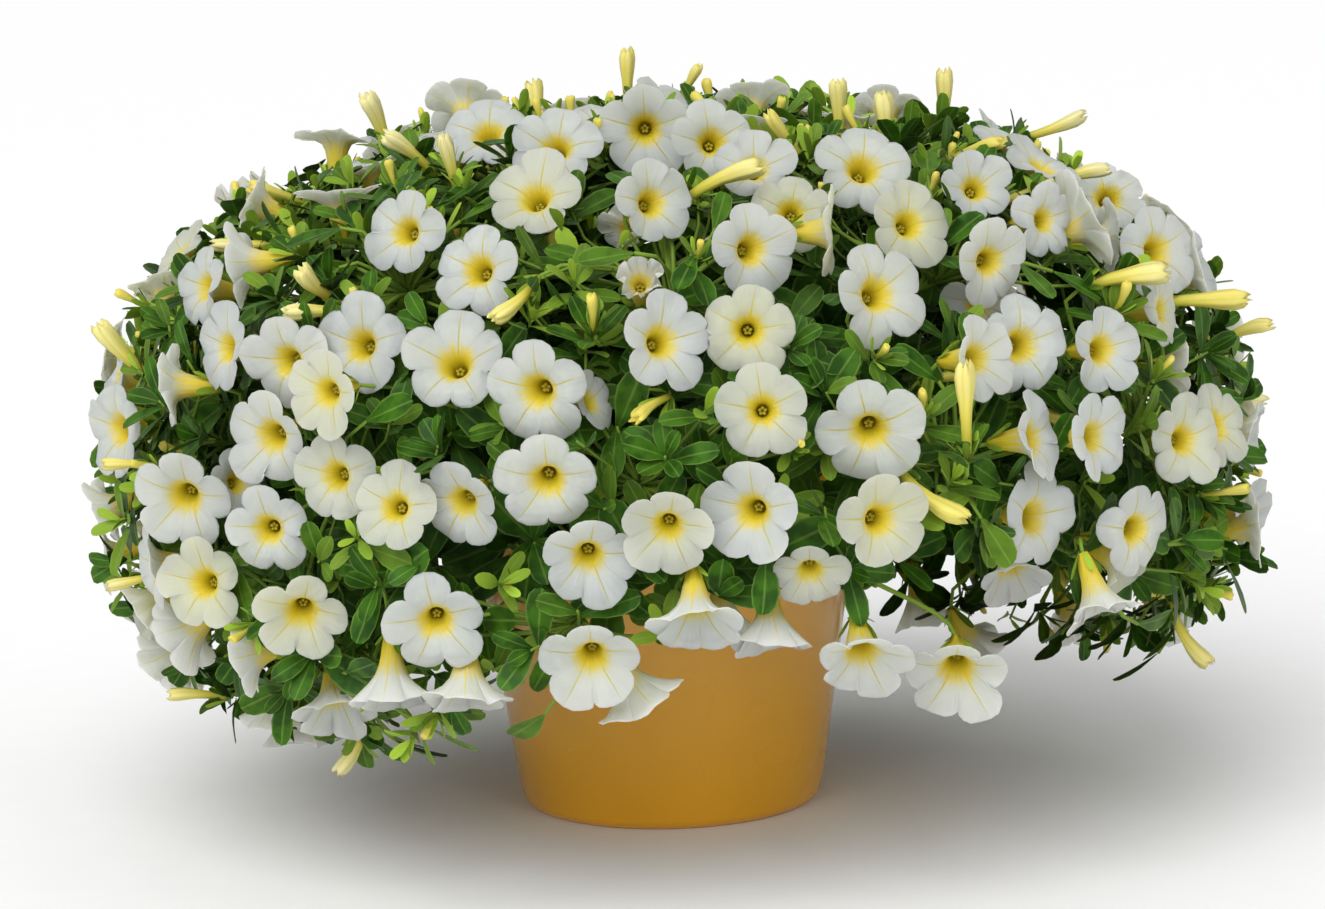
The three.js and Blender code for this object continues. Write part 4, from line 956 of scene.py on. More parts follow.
class Plan:
    """Where every flower and leaf stands. It is worked out once, from the solids."""

    made = None

    @classmethod
    def get(cls, settings):
        if cls.made is None:
            cls.made = cls(settings)
        return cls.made

    def __init__(self, settings):
        solids = Solids()
        blooms, buds = held_flowers(solids)
        if not blooms or not buds:
            raise RuntimeError("the solids hold none of the planned flowers")
        blooms += late_blooms(settings, *(
            np.array([flower["centre"] for flower in flowers]) for flowers in (blooms, buds)))
        self.blooms, self.buds = (
            {key: np.array([flower[key] for flower in flowers]) for key in flowers[0]}
            for flowers in (blooms, buds))
        self.blooms["heel"] = self.blooms["centre"] - self.blooms["face"] * TUBE_LENGTH
        self.buds["heel"] = self.buds["centre"] - self.buds["face"] * self.buds["size"][:, None] / 2
        broad = held_leaves(solids)
        clear = self.clear_of_blooms(straight(broad[1], broad[2]))
        self.broad = [column[clear] for column in broad]
        self.grow_tufts(settings)

    def grow_tufts(self, settings):
        """Places the tufts of leaves, and young buds in the hearts of some. Each big bud has one at its
        foot."""
        rng = np.random.default_rng(settings.seed)
        heel, face = self.buds["heel"], self.buds["face"]
        feet = [heel + 2 * face, face] + [
            np.full(len(heel), amount) for amount in (FOOT_LEAVES, FOOT_NEWNESS, FOOT_LENGTH)]
        self.tufts = [np.concatenate(pair) for pair in zip(tufts(settings, rng), feet)]
        centre, axis, _, newness, _ = self.tufts
        root, heading, self.tuft_owner = nearest_root(centre, axis)
        points = TWIG_POINTS * (TUFT_TWIG[2] - 1) + 1
        self.tuft_twigs = twig_paths(root, heading, centre, axis, points)
        self.tuft_free = self.clear_of_blooms(self.tuft_twigs)
        size = rng.uniform(*YOUNG_SIZES, len(centre))
        budding = straight(centre, centre + axis * size[:, None])
        young = self.tuft_free & (rng.uniform(0, 1, len(centre)) < YOUNG_SHARE) & (newness > YOUNG_NEWNESS)
        young &= self.clear_of_blooms(budding)
        self.young = {
            "centre": (centre + axis * size[:, None] / 2)[young], "face": axis[young], "size": size[young],
            "spin": rng.uniform(0, 360 / LOBES, young.sum()), "shoot": self.tuft_owner[young],
            "heel": centre[young],
        }

    def clear_of_blooms(self, points):
        """Whether each row of points stays behind the blooms: none of them lies just before a limb, in a
        tube, or on the other side of a limb than the one before it."""
        free = np.ones(len(points), bool)
        for centre, face, radius in zip(self.blooms["centre"], self.blooms["face"], self.blooms["size"] / 2):
            offset = points - centre
            height = offset @ face
            reach = np.sqrt(np.maximum(dot(offset, offset) - height**2, 0))
            over = height - RIM_RISE * np.minimum(reach, radius)
            under_limb = reach < radius * LIMB_REACH
            through = (over[:, 1:] * over[:, :-1] < 0) & (under_limb[:, 1:] | under_limb[:, :-1])
            before = (over > -ROOM_BEHIND) & (over < ROOM_BEFORE) & (reach < radius * FACE_REACH)
            funnel = np.interp(over / radius, FUNNEL_RISE, FUNNEL_REACH) * radius + TUBE_ROOM
            in_tube = (over < 0) & (over > -TUBE_LENGTH) & (reach < np.maximum(TUBE_RADIUS, funnel))
            free &= ~(through.any(1) | before.any(1) | in_tube.any(1))
        return free


def late_blooms(settings, taken, buds):
    """Small blooms in the wide gaps between the others, behind and on top of the bush."""
    rng = np.random.default_rng(settings.seed + 4)
    lean, turn = even_turns(FILL_CANDIDATES, LATE_LOWEST, LATE_FIRST_TURN)
    surface = dome_point(lean, turn)
    normal = dome_normal(surface)
    centres = surface - normal * rng.uniform(*LATE_DEPTHS, (len(lean), 1))
    faces = unit(normal + LATE_STRAY * rng.normal(size=normal.shape))
    hidden = dot(normal, unit(EYE - surface)) < LATE_FRONT_LIMIT
    chosen = []
    for number in rng.permutation(np.flatnonzero(hidden & over_edge(lean, turn, LATE_LOWEST))):
        gaps = (np.linalg.norm(others - centres[number], axis=-1).min() for others in (taken, buds))
        if next(gaps) > LATE_GAP and next(gaps) > BUD_GAP:
            taken = np.vstack([taken, centres[number]])
            chosen.append(number)
    chosen = chosen[:settings.late_blooms]
    owners = nearest_root(centres[chosen] - faces[chosen] * TUBE_LENGTH, faces[chosen])[2]
    return [{"centre": centres[number], "face": faces[number], "size": rng.uniform(*LATE_SIZES),
             "spin": rng.uniform(0, 360 / LOBES), "shoot": owner, "cream": place % LATE_CREAM == 1,
             "wilted": False, "near": False} for place, (number, owner) in enumerate(zip(chosen, owners))]


def straight(start, end):
    """Points along each straight line."""
    shares = np.linspace(0, 1, LINE_POINTS)[None, :, None]
    return start[:, None] * (1 - shares) + end[:, None] * shares


def clear_of_pot(points):
    """Whether points stay out of the pot's wall and the soil."""
    reach = np.hypot(points[..., 0], points[..., 1])
    beside = (reach > POT_OUTSIDE) | (points[..., 2] > POT_TOP)
    return beside | ((reach < POT_INSIDE) & (points[..., 2] > SOIL_TOP + 1))


def twig_paths(start, heading, end, arrival, rings):
    """Bezier curves from start along heading to end along arrival, with both handles a share of the span."""
    handle = TWIG_HANDLE * np.linalg.norm(end - start, axis=-1)[:, None]
    controls = np.stack([start, start + heading * handle, end - arrival * handle, end], 1)
    return bezier(controls, np.linspace(0, 1, rings))


def nearest_root(points, face, shoot=None):
    """The best place on the stems, or on those of the given shoots, for a stalk to each point: near it, and
    behind the way it faces. Gives the places, the stems' directions there and the shoots."""
    samples = CORE_POINTS.reshape(-1, 3) if shoot is None else CORE_POINTS[shoot]
    offset = samples - points[:, None]
    reach = np.linalg.norm(offset, axis=-1)
    forward = dot(offset / np.maximum(reach, 1e-9)[..., None], face[:, None])
    best = np.argmin(reach * (1 + FRONT_COST * np.maximum(0, forward)), axis=1)
    if shoot is None:
        shoot, best = best // GROWS_SAMPLES, best % GROWS_SAMPLES
    return CORE_POINTS[shoot, best], unit(np.gradient(CORE_POINTS, axis=1)[shoot, best]), shoot


def tufts(settings, rng):
    """Tufts of leaves on side twigs: the outer ones stand evenly just under the dome, others deeper, and
    the bush's top has more new growth than its sides. Gives each tuft's centre, axis, number of leaves, how
    new its leaves are and how much longer they grow."""
    groups = []
    for layer, depth, differs, leaf_count in TUFT_LAYERS:
        lean, turn = even_turns(getattr(settings, layer), TUFT_LOWEST, TUFT_FIRST_TURN)
        kept = over_edge(lean, turn, TUFT_LOWEST)
        count = kept.sum()
        surface = dome_point(lean[kept], turn[kept])
        normal = dome_normal(surface)
        centre = surface - normal * (depth + rng.uniform(-differs, differs, count))[:, None]
        for way in square_to(normal):
            centre = centre + way * rng.uniform(-TUFT_SHIFT, TUFT_SHIFT, (count, 1))
        axis = unit(normal + TUFT_STRAY * rng.normal(size=(count, 3)) + np.array([0, 0, TUFT_RISE]))
        newness = rng.uniform(0, 1, count) ** (NEW_RARE - NEW_ON_TOP * np.maximum(0, normal[:, 2]))
        newness = newness * max(0, 1 - depth / NEW_DEPTH)
        longer = np.full(count, 1 + depth / LONG_DEPTH)
        groups.append((centre, axis, np.full(count, leaf_count), newness, longer))
    return [np.concatenate(column) for column in zip(*groups)]


# ---- the pieces ----

# Degrees between a tuft's axis and its first leaf, less so many for its last leaf and for new growth.
LIE, LIE_LAST, LIE_NEW, LIE_VARIES = 78, 50, 14, 9
# The first leaf's length beside a full-grown one's, less so much for the last leaf, times old growth's, less
# so much for new growth.
LONG, LONG_LAST, LONG_OLD, LONG_NEW, LONG_VARIES = 1.1, 0.55, 1.2, 0.45, (0.75, 1.2)
# Width beside length, times old growth's, less so much for new growth.
WIDTHS, WIDE_OLD, WIDE_NEW = (0.4, 0.52), 1.05, 0.4
# How new the first leaf is beside its tuft, and how much newer the last.
AGE_FIRST, AGE_LAST, AGE_VARIES = 0.4, 0.75, 0.08
# How deep under the tuft's heart its first leaf starts, in mm; how tufts differ in turn, in radians, and how
# their leaves do in turn, curl and fold.
HEART_DEPTH, TUFT_TURNS, TURN_VARIES, TUFT_CURLS, TUFT_FOLDS = 5, (0, 6.28), 0.2, (-0.05, 0.28), (0.05, 0.35)
# Stems and stalks: radius at the foot and at the end, rings, sides, and age, from 0 for old to 1 for new.
STEM, ROOT_DEPTH, ROOT_RADIUS = (1.85, 0.75, 16, 8, 0.3), 21, 1.9
LEAF_STALK, FLOWER_STALK = (0.9, 0.6, 5, 4, 0.4), (0.8, 0.62, 7, 5, 0.45)
# Fine leaves in place of the solids' broad ones: their share of the width, their stalk's share of the blade,
# and how they differ.
BROAD_SHARE, STALK_SHARE, BROAD_CURL, BROAD_FOLDS, BROAD_AGE = 0.75, 0.25, 0.12, (0.08, 0.3), 0.3
# Sepals: how long they are on each kind of flower and how much that differs, degrees from the flower's axis,
# how far they start below its heel, how far they lean back, width beside length, and how they differ.
BLOOM_SEPAL, BUD_SEPAL, YOUNG_SEPAL, SEPAL_LENGTHS = 9.0, 8.0, 6.5, (0.85, 1.15)
SEPAL_SPREAD, SEPAL_START, SEPAL_BACK, SEPAL_WIDTH = (20, 40), 0.5, 0.3, 0.24
SEPAL_CURLS, SEPAL_FOLD, SEPAL_AGES = (-0.15, 0.1), 0.2, (0.3, 0.8)


def tuft_leaves(centre, axis, counts, newness, length, rng):
    """The leaves of tufts, as arrays: base, along, up, length, width, curl, fold, age, and the tuft that each
    belongs to. Leaves follow each other by the golden angle; the first are long and lie open, the last are
    short, stand up and are new. Newer tufts have smaller and narrower leaves that stand up more."""
    counts = counts.astype(int)
    tuft = np.repeat(np.arange(len(centre)), counts)
    order = np.arange(len(tuft)) - np.repeat(np.cumsum(counts) - counts, counts)
    place, fresh, axis = order / counts[tuft], newness[tuft], axis[tuft]
    count = len(tuft)
    first_turn = rng.uniform(*TUFT_TURNS, len(centre))[tuft]
    turn = order * GOLDEN_ANGLE + first_turn + rng.normal(0, TURN_VARIES, count)
    outwards = spokes(turn[:, None], axis)[:, 0]
    lie = np.radians(LIE - LIE_LAST * place - LIE_NEW * fresh + rng.normal(0, LIE_VARIES, count))
    sine, cosine = np.sin(lie)[:, None], np.cos(lie)[:, None]
    size = length[tuft] * (LONG - LONG_LAST * place) * (LONG_OLD - LONG_NEW * fresh)
    size = size * rng.uniform(*LONG_VARIES, count)
    base = centre[tuft] - axis * (HEART_DEPTH * (1 - place))[:, None]
    wide = size * rng.uniform(*WIDTHS, count) * (WIDE_OLD - WIDE_NEW * fresh)
    age = np.clip(fresh * (AGE_FIRST + AGE_LAST * place) + rng.normal(0, AGE_VARIES, count), 0, 1)
    return [base, unit(outwards * sine + axis * cosine), unit(axis * sine - outwards * cosine), size, wide,
            rng.uniform(*TUFT_CURLS, count), rng.uniform(*TUFT_FOLDS, count), age], tuft


def leafy_tufts(plan, settings, rng):
    """The leaves of the tufts and the twigs of those that keep two leaves or more."""
    centre, axis, counts, newness, longer = plan.tufts
    shapes, tuft = tuft_leaves(centre, axis, counts, newness, settings.leaf_length / MM * longer, rng)
    base, tip = shapes[0], shapes[0] + shapes[1] * shapes[3][:, None]
    keep = plan.clear_of_blooms(straight(base, tip)) & clear_of_pot(base) & clear_of_pot(tip)
    keep &= plan.tuft_free[tuft]
    leafy = np.bincount(tuft[keep], minlength=len(centre)) > 1
    start, end, rings, around, age = TUFT_TWIG
    twigs = stalks(plan.tuft_twigs[leafy, ::TWIG_POINTS], np.linspace(start, end, rings), around, age)
    return [(plan.tuft_owner[tuft[keep]], *leaves(*(column[keep] for column in shapes)), 0),
            (plan.tuft_owner[leafy], *twigs, 0)]


def broad_leaves(plan, rng):
    """The broad leaves that the solids hold, and their stalks."""
    owner, bend, tip, width, normal = plan.broad
    foot = bend + (tip - bend) * STALK_SHARE
    size, along = np.linalg.norm(tip - foot, axis=-1), unit(tip - foot)
    blades = leaves(foot, along, normal, size, width * BROAD_SHARE, rng.uniform(0, BROAD_CURL, len(size)),
                    rng.uniform(*BROAD_FOLDS, len(size)), rng.uniform(0, BROAD_AGE, len(size)))
    return [(owner, *blades, 0), (owner, *stalks_to(foot, along, owner, LEAF_STALK), 0)]


def stalks_to(points, face, shoot, form):
    """Stalks from the shoots' stems to the points, where they end the way these face."""
    root, heading, _ = nearest_root(points, face, shoot)
    start, end, rings, around, age = form
    return stalks(twig_paths(root, heading, points, face, rings), np.linspace(start, end, rings), around, age)


def calyces(flowers, sepal_length, rng):
    """The flowers' stalks, and five sepals that stand round each one's heel."""
    heel, face, shoot = flowers["heel"], flowers["face"], flowers["shoot"]
    turn = np.radians(flowers["spin"])[:, None] + LOBE_TURN * (np.arange(LOBES) + 0.5)
    outwards = spokes(turn, face).reshape(-1, 3)
    axes = np.repeat(face, LOBES, axis=0)
    count = len(axes)
    spread = np.radians(rng.uniform(*SEPAL_SPREAD, count))[:, None]
    length = sepal_length * rng.uniform(*SEPAL_LENGTHS, count)
    base = np.repeat(heel, LOBES, axis=0) + outwards - axes * SEPAL_START
    along = axes * np.cos(spread) + outwards * np.sin(spread)
    sepals = leaves(
        base, along, unit(outwards - axes * SEPAL_BACK), length, length * SEPAL_WIDTH,
        rng.uniform(*SEPAL_CURLS, count), np.full(count, SEPAL_FOLD), rng.uniform(*SEPAL_AGES, count))
    return [(shoot, *stalks_to(heel, face, shoot, FLOWER_STALK), 0), (np.repeat(shoot, LOBES), *sepals, 0)]


def build_foliage(settings, materials):
    """Stems, twigs, leaves and calyces, one piece to a shoot."""
    plan = Plan.get(settings)
    rng = np.random.default_rng(settings.seed)
    start, end, rings, around, age = STEM
    paths = bezier(SHOOT_CURVES, np.linspace(0, 1, rings))
    paths = np.concatenate([paths[:, :1] - np.array([0, 0, ROOT_DEPTH]), paths], 1)
    stems = stalks(paths, np.append(ROOT_RADIUS, np.linspace(start, end, rings)), around, age)
    leafage = [(np.arange(SHOOT_COUNT), *stems, 0)]
    leafage += leafy_tufts(plan, settings, rng) + broad_leaves(plan, rng)
    groups = []
    for flowers, length in ((plan.blooms, BLOOM_SEPAL), (plan.buds, BUD_SEPAL), (plan.young, YOUNG_SEPAL)):
        groups += calyces(flowers, length, rng)
    add_to_shoots("leafy_shoot", groups + leafage, [materials["leaf"]], "foliage")


# How blooms differ in tint, if cream or white, and how far they are drawn into bells, also by their own
# weight where they hang.
CREAM_TINTS, WHITE_TINTS, BELL, HANGING_BELL = (0.6, 1), (0, 0.25), 0.12, 0.42


def build_blooms(settings, materials):
    """Open flowers, one piece to a shoot."""
    plan = Plan.get(settings)
    rng = np.random.default_rng(settings.seed + 1)
    groups = []
    for half_lobe, group in ((HALF_LOBE, plan.blooms["near"]), (PLAIN_HALF_LOBE, ~plan.blooms["near"])):
        centre, face, size, spin, shoot, cream, wilted = (
            plan.blooms[key][group] for key in ("centre", "face", "size", "spin", "shoot", "cream", "wilted"))
        count = len(centre)
        tint = np.where(cream, rng.uniform(*CREAM_TINTS, count), rng.uniform(*WHITE_TINTS, count))
        cone = rng.uniform(0, BELL, count) + HANGING_BELL * np.maximum(0, -face[:, 2])
        shapes = corollas(centre, face, size / 2, spin, tint, wilted.astype(float), cone, half_lobe, rng)
        groups.append((shoot, *shapes, 0))
    add_to_shoots("blooms", groups, [materials["petal"]], "petals")


# A big bud's greatest radius when it is so long, a young one's beside its length, and the sides of both.
BUD_RADII, BUD_LENGTH, YOUNG_RADIUS, BUD_SIDES, YOUNG_SIDES = (2.3, 3.0), 23, 0.14, 15, 10
# Anthers: how deep in the throat, in shares of the bloom's radius, and how far off the axis they stand, how
# far they lean out, and their length and radius.
ANTHER_DEPTH, ANTHER_REACH, ANTHER_LEAN, ANTHER_LENGTH, ANTHER_RADIUS = 0.42, 0.8, 0.8, 1.7, 0.55


def build_buds(settings, materials):
    """Folded buds and the blooms' anthers, one piece to a shoot."""
    plan = Plan.get(settings)
    rng = np.random.default_rng(settings.seed + 2)
    buds, young, blooms = plan.buds, plan.young, plan.blooms
    count = len(buds["size"])
    big = folded_buds(buds["centre"], buds["face"], buds["size"],
                      rng.uniform(*BUD_RADII, count) * buds["size"] / BUD_LENGTH, buds["spin"],
                      rng.uniform(0, 1, count), BUD_SIDES, rng)
    small = folded_buds(young["centre"], young["face"], young["size"], young["size"] * YOUNG_RADIUS,
                        young["spin"], 0 * young["size"], YOUNG_SIDES, rng)
    spoke = spokes(LOBE_TURN * np.arange(LOBES), blooms["face"]).reshape(-1, 3)
    flower = np.repeat(np.arange(len(blooms["size"])), LOBES)
    depth = blooms["size"][:, None] / 2 * ANTHER_DEPTH
    centre = (blooms["centre"] - blooms["face"] * depth)[flower] + spoke * ANTHER_REACH
    axis = unit(blooms["face"][flower] + spoke * rng.uniform(0, ANTHER_LEAN, (len(flower), 1)))
    anthers = grains(centre, axis, ANTHER_LENGTH, ANTHER_RADIUS)
    groups = [(buds["shoot"], *big, 0), (young["shoot"], *small, 0), (blooms["shoot"][flower], *anthers, 1)]
    add_to_shoots("buds", groups, [materials["bud"], materials["anther"]], "buds")


# The pot: height of the rim's band, how far it stands out, thickness of the wall, radius of the foot's round
# corner, height of the floor's top, height of the rolled lip, and how far the sole reaches in.
POT_BAND, POT_STEP, POT_WALL, POT_CORNER, POT_FLOOR = 9, 0.9, 2.4, 4, 3
LIP_HEIGHT, SOLE, POT_SIDES = 0.8, 9, 128
# The step under the band, as distances out from the wall and up from the band's lower edge.
SHOULDER = np.array([[0.05, -0.15], [0.25, 0], [POT_STEP - 0.2, 0.25], [POT_STEP, 0.9]])


def build_pot(settings, materials):
    """The pot's wall as one turned skin: a rounded foot, a straight taper, a small step under the rim's
    band, a rolled lip and the inner wall down to the floor."""
    height, rim, foot = settings.pot_height / MM, settings.rim_radius / MM, settings.foot_radius / MM

    def outer(level):
        return foot + (rim - POT_STEP - foot) * level / height

    bend = np.radians(np.linspace(0, 90, 9))
    rounded = np.stack([outer(0) - POT_CORNER * (1 - np.sin(bend)), POT_CORNER * (1 - np.cos(bend))], -1)
    rise = np.linspace(POT_CORNER + 4, height - POT_BAND - 0.4, 12)
    under = height - POT_BAND
    shoulder = SHOULDER + [outer(under), under]
    lip = np.radians(np.linspace(0, 180, 11))
    rolled = np.stack([rim - POT_WALL / 2 + POT_WALL / 2 * np.cos(lip),
                       height - LIP_HEIGHT + LIP_HEIGHT * np.sin(lip)], -1)
    inside = np.linspace(height - 4, POT_FLOOR + 0.5, 8)
    inner = np.stack([outer(inside) - POT_WALL + POT_STEP * inside / height, inside], -1)
    profile = np.vstack([
        [[foot - SOLE, 0.0]], rounded, np.stack([outer(rise), rise], -1), shoulder, rolled, inner,
        [[outer(POT_FLOOR) - POT_WALL - 1.5, POT_FLOOR]],
    ])
    first, last = (np.array([[0, 0, profile[end, 1]]]) for end in (0, -1))
    points = closed_points(first, turned_rings(profile, POT_SIDES)[None], last)
    add_piece("glossy_pot", [(points, closed_faces(len(profile), POT_SIDES), {}, 0)], [materials["pot"]],
              "pot", "pot")


# The soil's side as (radius, height), its top's level, its sides, and its waves: length and height in mm.
SOIL_SIDE = np.array([[46.0, 3.5], [47.0, 3.6], [62.9, SOIL_TOP - 3.0]])
SOIL_LEVEL, SOIL_SIDES, SOIL_RINGS, SOIL_RADIUS = SOIL_TOP - 1.2, 72, 30, 63.1
SOIL_WAVES = ((20, 0.9), (9, 0.7), (5, 0.5))


def build_soil(settings, materials):
    """Crumbly potting mix: a block in the pot whose top is a polar grid heaved by waves of 5 to 20 mm."""
    rng = np.random.default_rng(settings.seed + 3)
    reach = np.linspace(SOIL_RADIUS, 1, SOIL_RINGS)
    top = turned_rings(np.stack([reach, 0 * reach + SOIL_LEVEL], -1), SOIL_SIDES)
    for size, amount in SOIL_WAVES:
        for _ in range(3):
            way, phase = rng.uniform(0, 2 * np.pi, 2)
            across = top[..., 0] * np.cos(way) + top[..., 1] * np.sin(way)
            top[..., 2] += amount * np.sin(across * 2 * np.pi / size + phase) / 3
    rings = np.concatenate([turned_rings(SOIL_SIDE, SOIL_SIDES), top])[None]
    points = closed_points(np.array([[0, 0, SOIL_SIDE[0, 1]]]), rings, np.array([[0, 0, SOIL_LEVEL]]))
    add_piece("crumbly_soil", [(points, closed_faces(rings.shape[1], SOIL_SIDES), {}, 0)],
              [materials["soil"]], "soil", "potting_soil")


# ---- the stage ----

# In metres: half the floor's width, where the sun and the upright lamps hang, and what they point at. Of each
# lamp also its width, its height and its share of the lamps' power.
FLOOR_HALF, SUN_PLACE, LAMP_AIM = 6.0, (-0.7, -2.0, 2.1), (0, 0, 0.12)
SOFTBOXES = [
    ("left_softbox", (-1.0, -1.8, 0.75), 0.3, 1.3, 1.0), ("right_softbox", (0.95, -1.9, 0.75), 0.4, 1.3, 1.2),
]
SUN_WIDTH, SENSOR = math.radians(50), 36


def build_stage(lights):
    """A pale floor, a broad sun, two upright lamps, an even sky and the camera."""
    mesh = bpy.data.meshes.new("floor")
    corners = [(x * FLOOR_HALF, y * FLOOR_HALF, 0) for x, y in ((-1, -1), (1, -1), (1, 1), (-1, 1))]
    mesh.from_pydata(corners, [], [(0, 1, 2, 3)])
    mesh.materials.append(paper_material())
    floor = bpy.data.objects.new("floor", mesh)
    bpy.context.scene.collection.objects.link(floor)
    floor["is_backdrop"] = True

    world = bpy.data.worlds.new("Studio")
    world.use_nodes = True
    background = world.node_tree.nodes["Background"]
    background.inputs["Color"].default_value = linear("#ffffff")
    background.inputs["Strength"].default_value = lights.sky_light
    bpy.context.scene.world = world

    sun = bpy.data.lights.new("soft_sun", "SUN")
    sun.energy, sun.angle = lights.sun_light, SUN_WIDTH
    add_light(sun, SUN_PLACE)
    for name, place, width, height, share in SOFTBOXES:
        lamp = bpy.data.lights.new(name, "AREA")
        lamp.shape, lamp.size, lamp.size_y = "RECTANGLE", width, height
        lamp.energy = lights.softbox_light * share
        add_light(lamp, place)

    lens = bpy.data.cameras.new("camera")
    lens.sensor_width, lens.lens = SENSOR, SENSOR * FOCAL / GRID_WIDTH
    sideways = np.array([1.0, 0, 0])
    right = sideways * math.cos(ROLL) - UPWARD * math.sin(ROLL)
    up = sideways * math.sin(ROLL) + UPWARD * math.cos(ROLL)
    bpy.context.scene.camera = placed(lens, right, up, -FORWARD, EYE * MM)
    bpy.context.scene.view_settings.view_transform = "Standard"


def add_light(lamp, place):
    """Hangs a lamp at a place in metres and points it at the middle of the plant."""
    back = unit(np.array(place) - np.array(LAMP_AIM))
    right = unit(np.cross([0, 0, 1.0], back))
    placed(lamp, right, np.cross(back, right), back, place)


def placed(data, right, up, back, place):
    """An object of the light or camera, at a place in metres and turned to its three directions."""
    thing = bpy.data.objects.new(data.name, data)
    thing.matrix_world = Matrix([[right[k], up[k], back[k], place[k]] for k in range(3)] + [[0, 0, 0, 1]])
    bpy.context.scene.collection.objects.link(thing)
    return thing


# ---- the add-on ----

def length_property(name, description, default):
    return bpy.props.FloatProperty(name=name, description=description, default=default, unit="LENGTH")


def count_property(name, description, default, least=1):
    return bpy.props.IntProperty(name=name, description=description, default=default, min=least)


def colour_property(name, description, default):
    return bpy.props.StringProperty(name=name, description=description, default=default)


class CalibrachoaSizes(bpy.types.PropertyGroup):
    """Sizes and counts."""

    pot_height: length_property("Pot height", "Height of the pot", 0.115)
    rim_radius: length_property("Rim radius", "Outside radius of the pot's rim", 0.067)
    foot_radius: length_property("Foot radius", "Outside radius of the pot's foot", 0.049)
    leaf_length: length_property("Leaf length", "Length of a tuft's full-grown leaf", 0.0145)
    tufts: count_property("Tufts", "Tufts of leaves just under the bush's surface", 800)
    inner_tufts: count_property("Inner tufts", "Tufts of leaves a little deeper in the bush", 470)
    deep_tufts: count_property("Deep tufts", "Tufts of leaves round the bush's middle", 260)
    core_tufts: count_property("Core tufts", "Tufts of big old leaves in the bush's middle", 180)
    late_blooms: count_property("Late blooms", "Most blooms that fill the gaps behind and on top", 64, 0)
    seed: bpy.props.IntProperty(name="Seed", description="Changes how leaves and petals vary", default=11)


class CalibrachoaColours(bpy.types.PropertyGroup):
    """Colours as sRGB hex values."""

    petal_white: colour_property("White petal", "Colour of a white petal", "#b9bdb8")
    petal_cream: colour_property("Cream petal", "Colour of a cream petal", "#b9baa0")
    throat: colour_property("Throat", "Colour of a bloom's throat and tube", "#d2bd16")
    # the deep throat's colour is painted shade at the bottom of the funnel's inside
    painted_throat_shade: colour_property("Deep throat", "Colour of the bottom of a bloom's throat", "#b8a60a")
    rib: colour_property("Rib", "Colour of the line down each lobe", "#c2b343")
    anther: colour_property("Anther", "Colour of the anthers", "#b5a52c")
    bud: colour_property("Bud", "Colour of a folded bud", "#d9cc5a")
    leaf: colour_property("Leaf", "Colour of a full-grown leaf", "#386310")
    leaf_dark: colour_property("Dark leaf", "Colour of a leaf's darker blotches", "#214408")
    leaf_new: colour_property("New leaf", "Colour of new growth", "#a3c23c")
    pot: colour_property("Pot", "Colour of the pot", "#e0a10a")
    pot_shade: colour_property("Pot shade", "Colour of the dye's darker clouds", "#ce9109")


class CalibrachoaLight(bpy.types.PropertyGroup):
    """Light of the studio."""

    sun_light: bpy.props.FloatProperty(
        name="Soft sun", description="Strength of the broad light from above", default=2.1, min=0)
    softbox_light: bpy.props.FloatProperty(
        name="Softboxes", description="Power of the upright lamps in front", default=4.0, unit="POWER")
    sky_light: bpy.props.FloatProperty(
        name="Sky light", description="Strength of the even light from all round", default=0.6, min=0)


MATERIALS = {}


def built(context, build):
    """Builds a piece with the scene's sizes and the plant's materials, which are made once."""
    colours = context.scene.calibrachoa_colours
    if not MATERIALS:
        MATERIALS.update({name: make(colours) for name, make in {
            "petal": petal_material, "leaf": leaf_material, "bud": bud_material, "anther": anther_material,
            "pot": pot_material, "soil": soil_material}.items()})
    build(context.scene.calibrachoa_sizes, MATERIALS)
    return {"FINISHED"}


class CALIBRACHOA_OT_stage(bpy.types.Operator):
    """Adds the floor, the lights and the camera"""

    bl_idname = "calibrachoa.stage"
    bl_label = "Stage"

    def execute(self, context):
        build_stage(context.scene.calibrachoa_light)
        return {"FINISHED"}


class CALIBRACHOA_OT_pot(bpy.types.Operator):
    """Adds the glossy pot"""

    bl_idname = "calibrachoa.pot"
    bl_label = "Pot"

    def execute(self, context):
        return built(context, build_pot)


class CALIBRACHOA_OT_soil(bpy.types.Operator):
    """Adds the potting soil"""

    bl_idname = "calibrachoa.soil"
    bl_label = "Soil"

    def execute(self, context):
        return built(context, build_soil)


class CALIBRACHOA_OT_foliage(bpy.types.Operator):
    """Adds the leafy shoots"""

    bl_idname = "calibrachoa.foliage"
    bl_label = "Leafy shoots"

    def execute(self, context):
        return built(context, build_foliage)


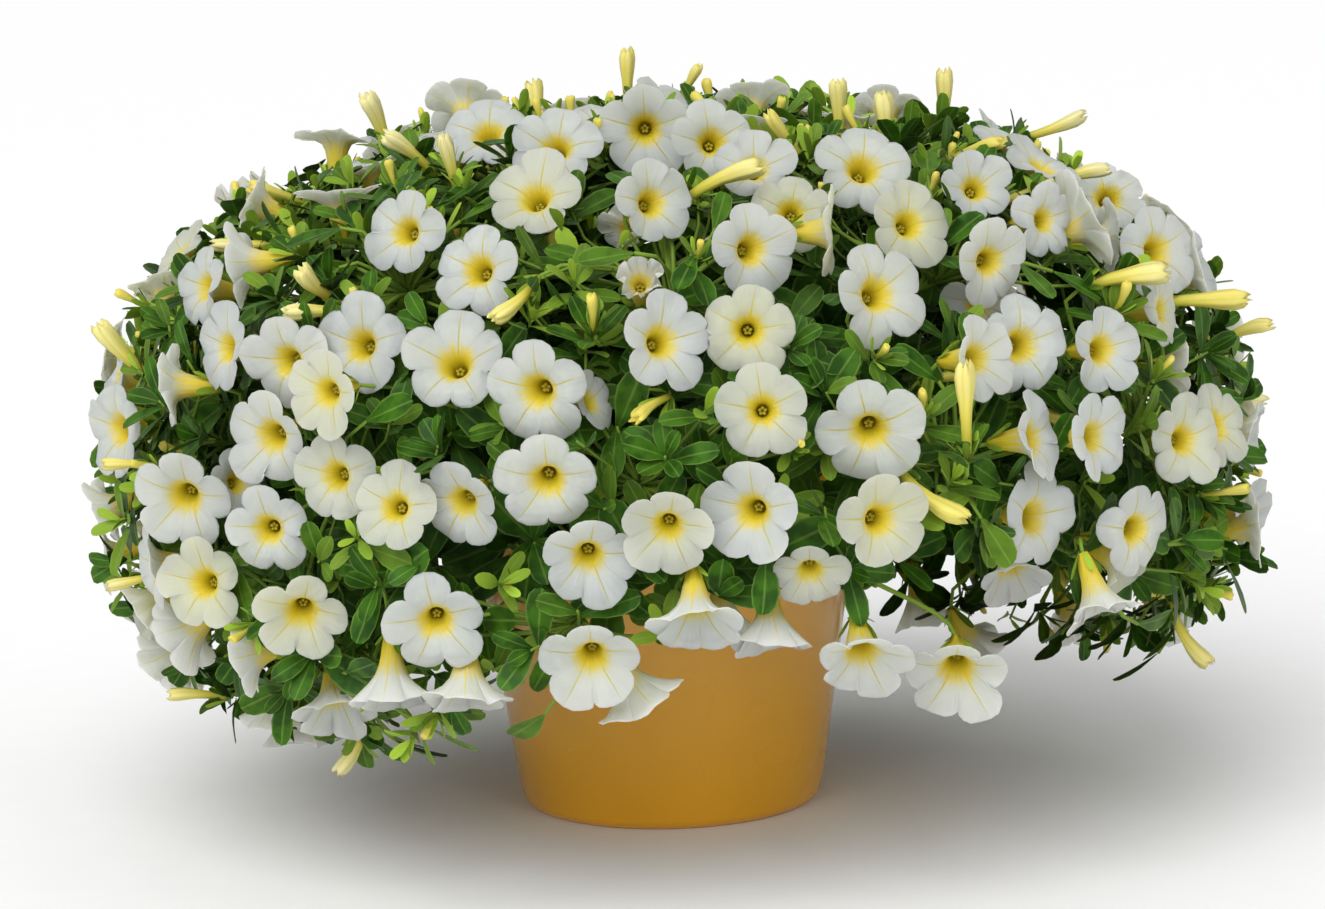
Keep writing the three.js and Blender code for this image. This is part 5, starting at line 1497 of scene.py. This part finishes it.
class CALIBRACHOA_OT_blooms(bpy.types.Operator):
    """Adds the open blooms"""

    bl_idname = "calibrachoa.blooms"
    bl_label = "Blooms"

    def execute(self, context):
        return built(context, build_blooms)


class CALIBRACHOA_OT_buds(bpy.types.Operator):
    """Adds the folded buds and the anthers"""

    bl_idname = "calibrachoa.buds"
    bl_label = "Buds and anthers"

    def execute(self, context):
        return built(context, build_buds)


OPERATORS = [CALIBRACHOA_OT_stage, CALIBRACHOA_OT_pot, CALIBRACHOA_OT_soil, CALIBRACHOA_OT_foliage,
             CALIBRACHOA_OT_blooms, CALIBRACHOA_OT_buds]


class CALIBRACHOA_PT_panel(bpy.types.Panel):
    """Lists the plant's pieces and their settings"""

    bl_idname = "CALIBRACHOA_PT_panel"
    bl_label = "Potted Calibrachoa"
    bl_space_type = "VIEW_3D"
    bl_region_type = "UI"
    bl_category = "Calibrachoa"

    def draw(self, context):
        layout = self.layout
        for operator in OPERATORS:
            layout.operator(operator.bl_idname)
        for group in SETTINGS:
            settings = getattr(context.scene, group)
            column = layout.column()
            for key in settings.__annotations__:
                column.prop(settings, key)


SETTINGS = {
    "calibrachoa_sizes": CalibrachoaSizes,
    "calibrachoa_colours": CalibrachoaColours,
    "calibrachoa_light": CalibrachoaLight,
}
CLASSES = [*SETTINGS.values(), *OPERATORS, CALIBRACHOA_PT_panel]


def register():
    for cls in CLASSES:
        bpy.utils.register_class(cls)
    for name, cls in SETTINGS.items():
        setattr(bpy.types.Scene, name, bpy.props.PointerProperty(type=cls))


def unregister():
    for name in SETTINGS:
        delattr(bpy.types.Scene, name)
    for cls in reversed(CLASSES):
        bpy.utils.unregister_class(cls)


def main():
    register()
    bpy.ops.calibrachoa.stage()
    bpy.ops.calibrachoa.pot()
    bpy.ops.calibrachoa.soil()
    bpy.ops.calibrachoa.foliage()
    bpy.ops.calibrachoa.blooms()
    bpy.ops.calibrachoa.buds()
    boxes = {"solids": SOLIDS_BOX, "visual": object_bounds()}
    {name: [list(corner) for corner in box] for name, box in boxes.items()}


if __name__ == "__main__":
    main()
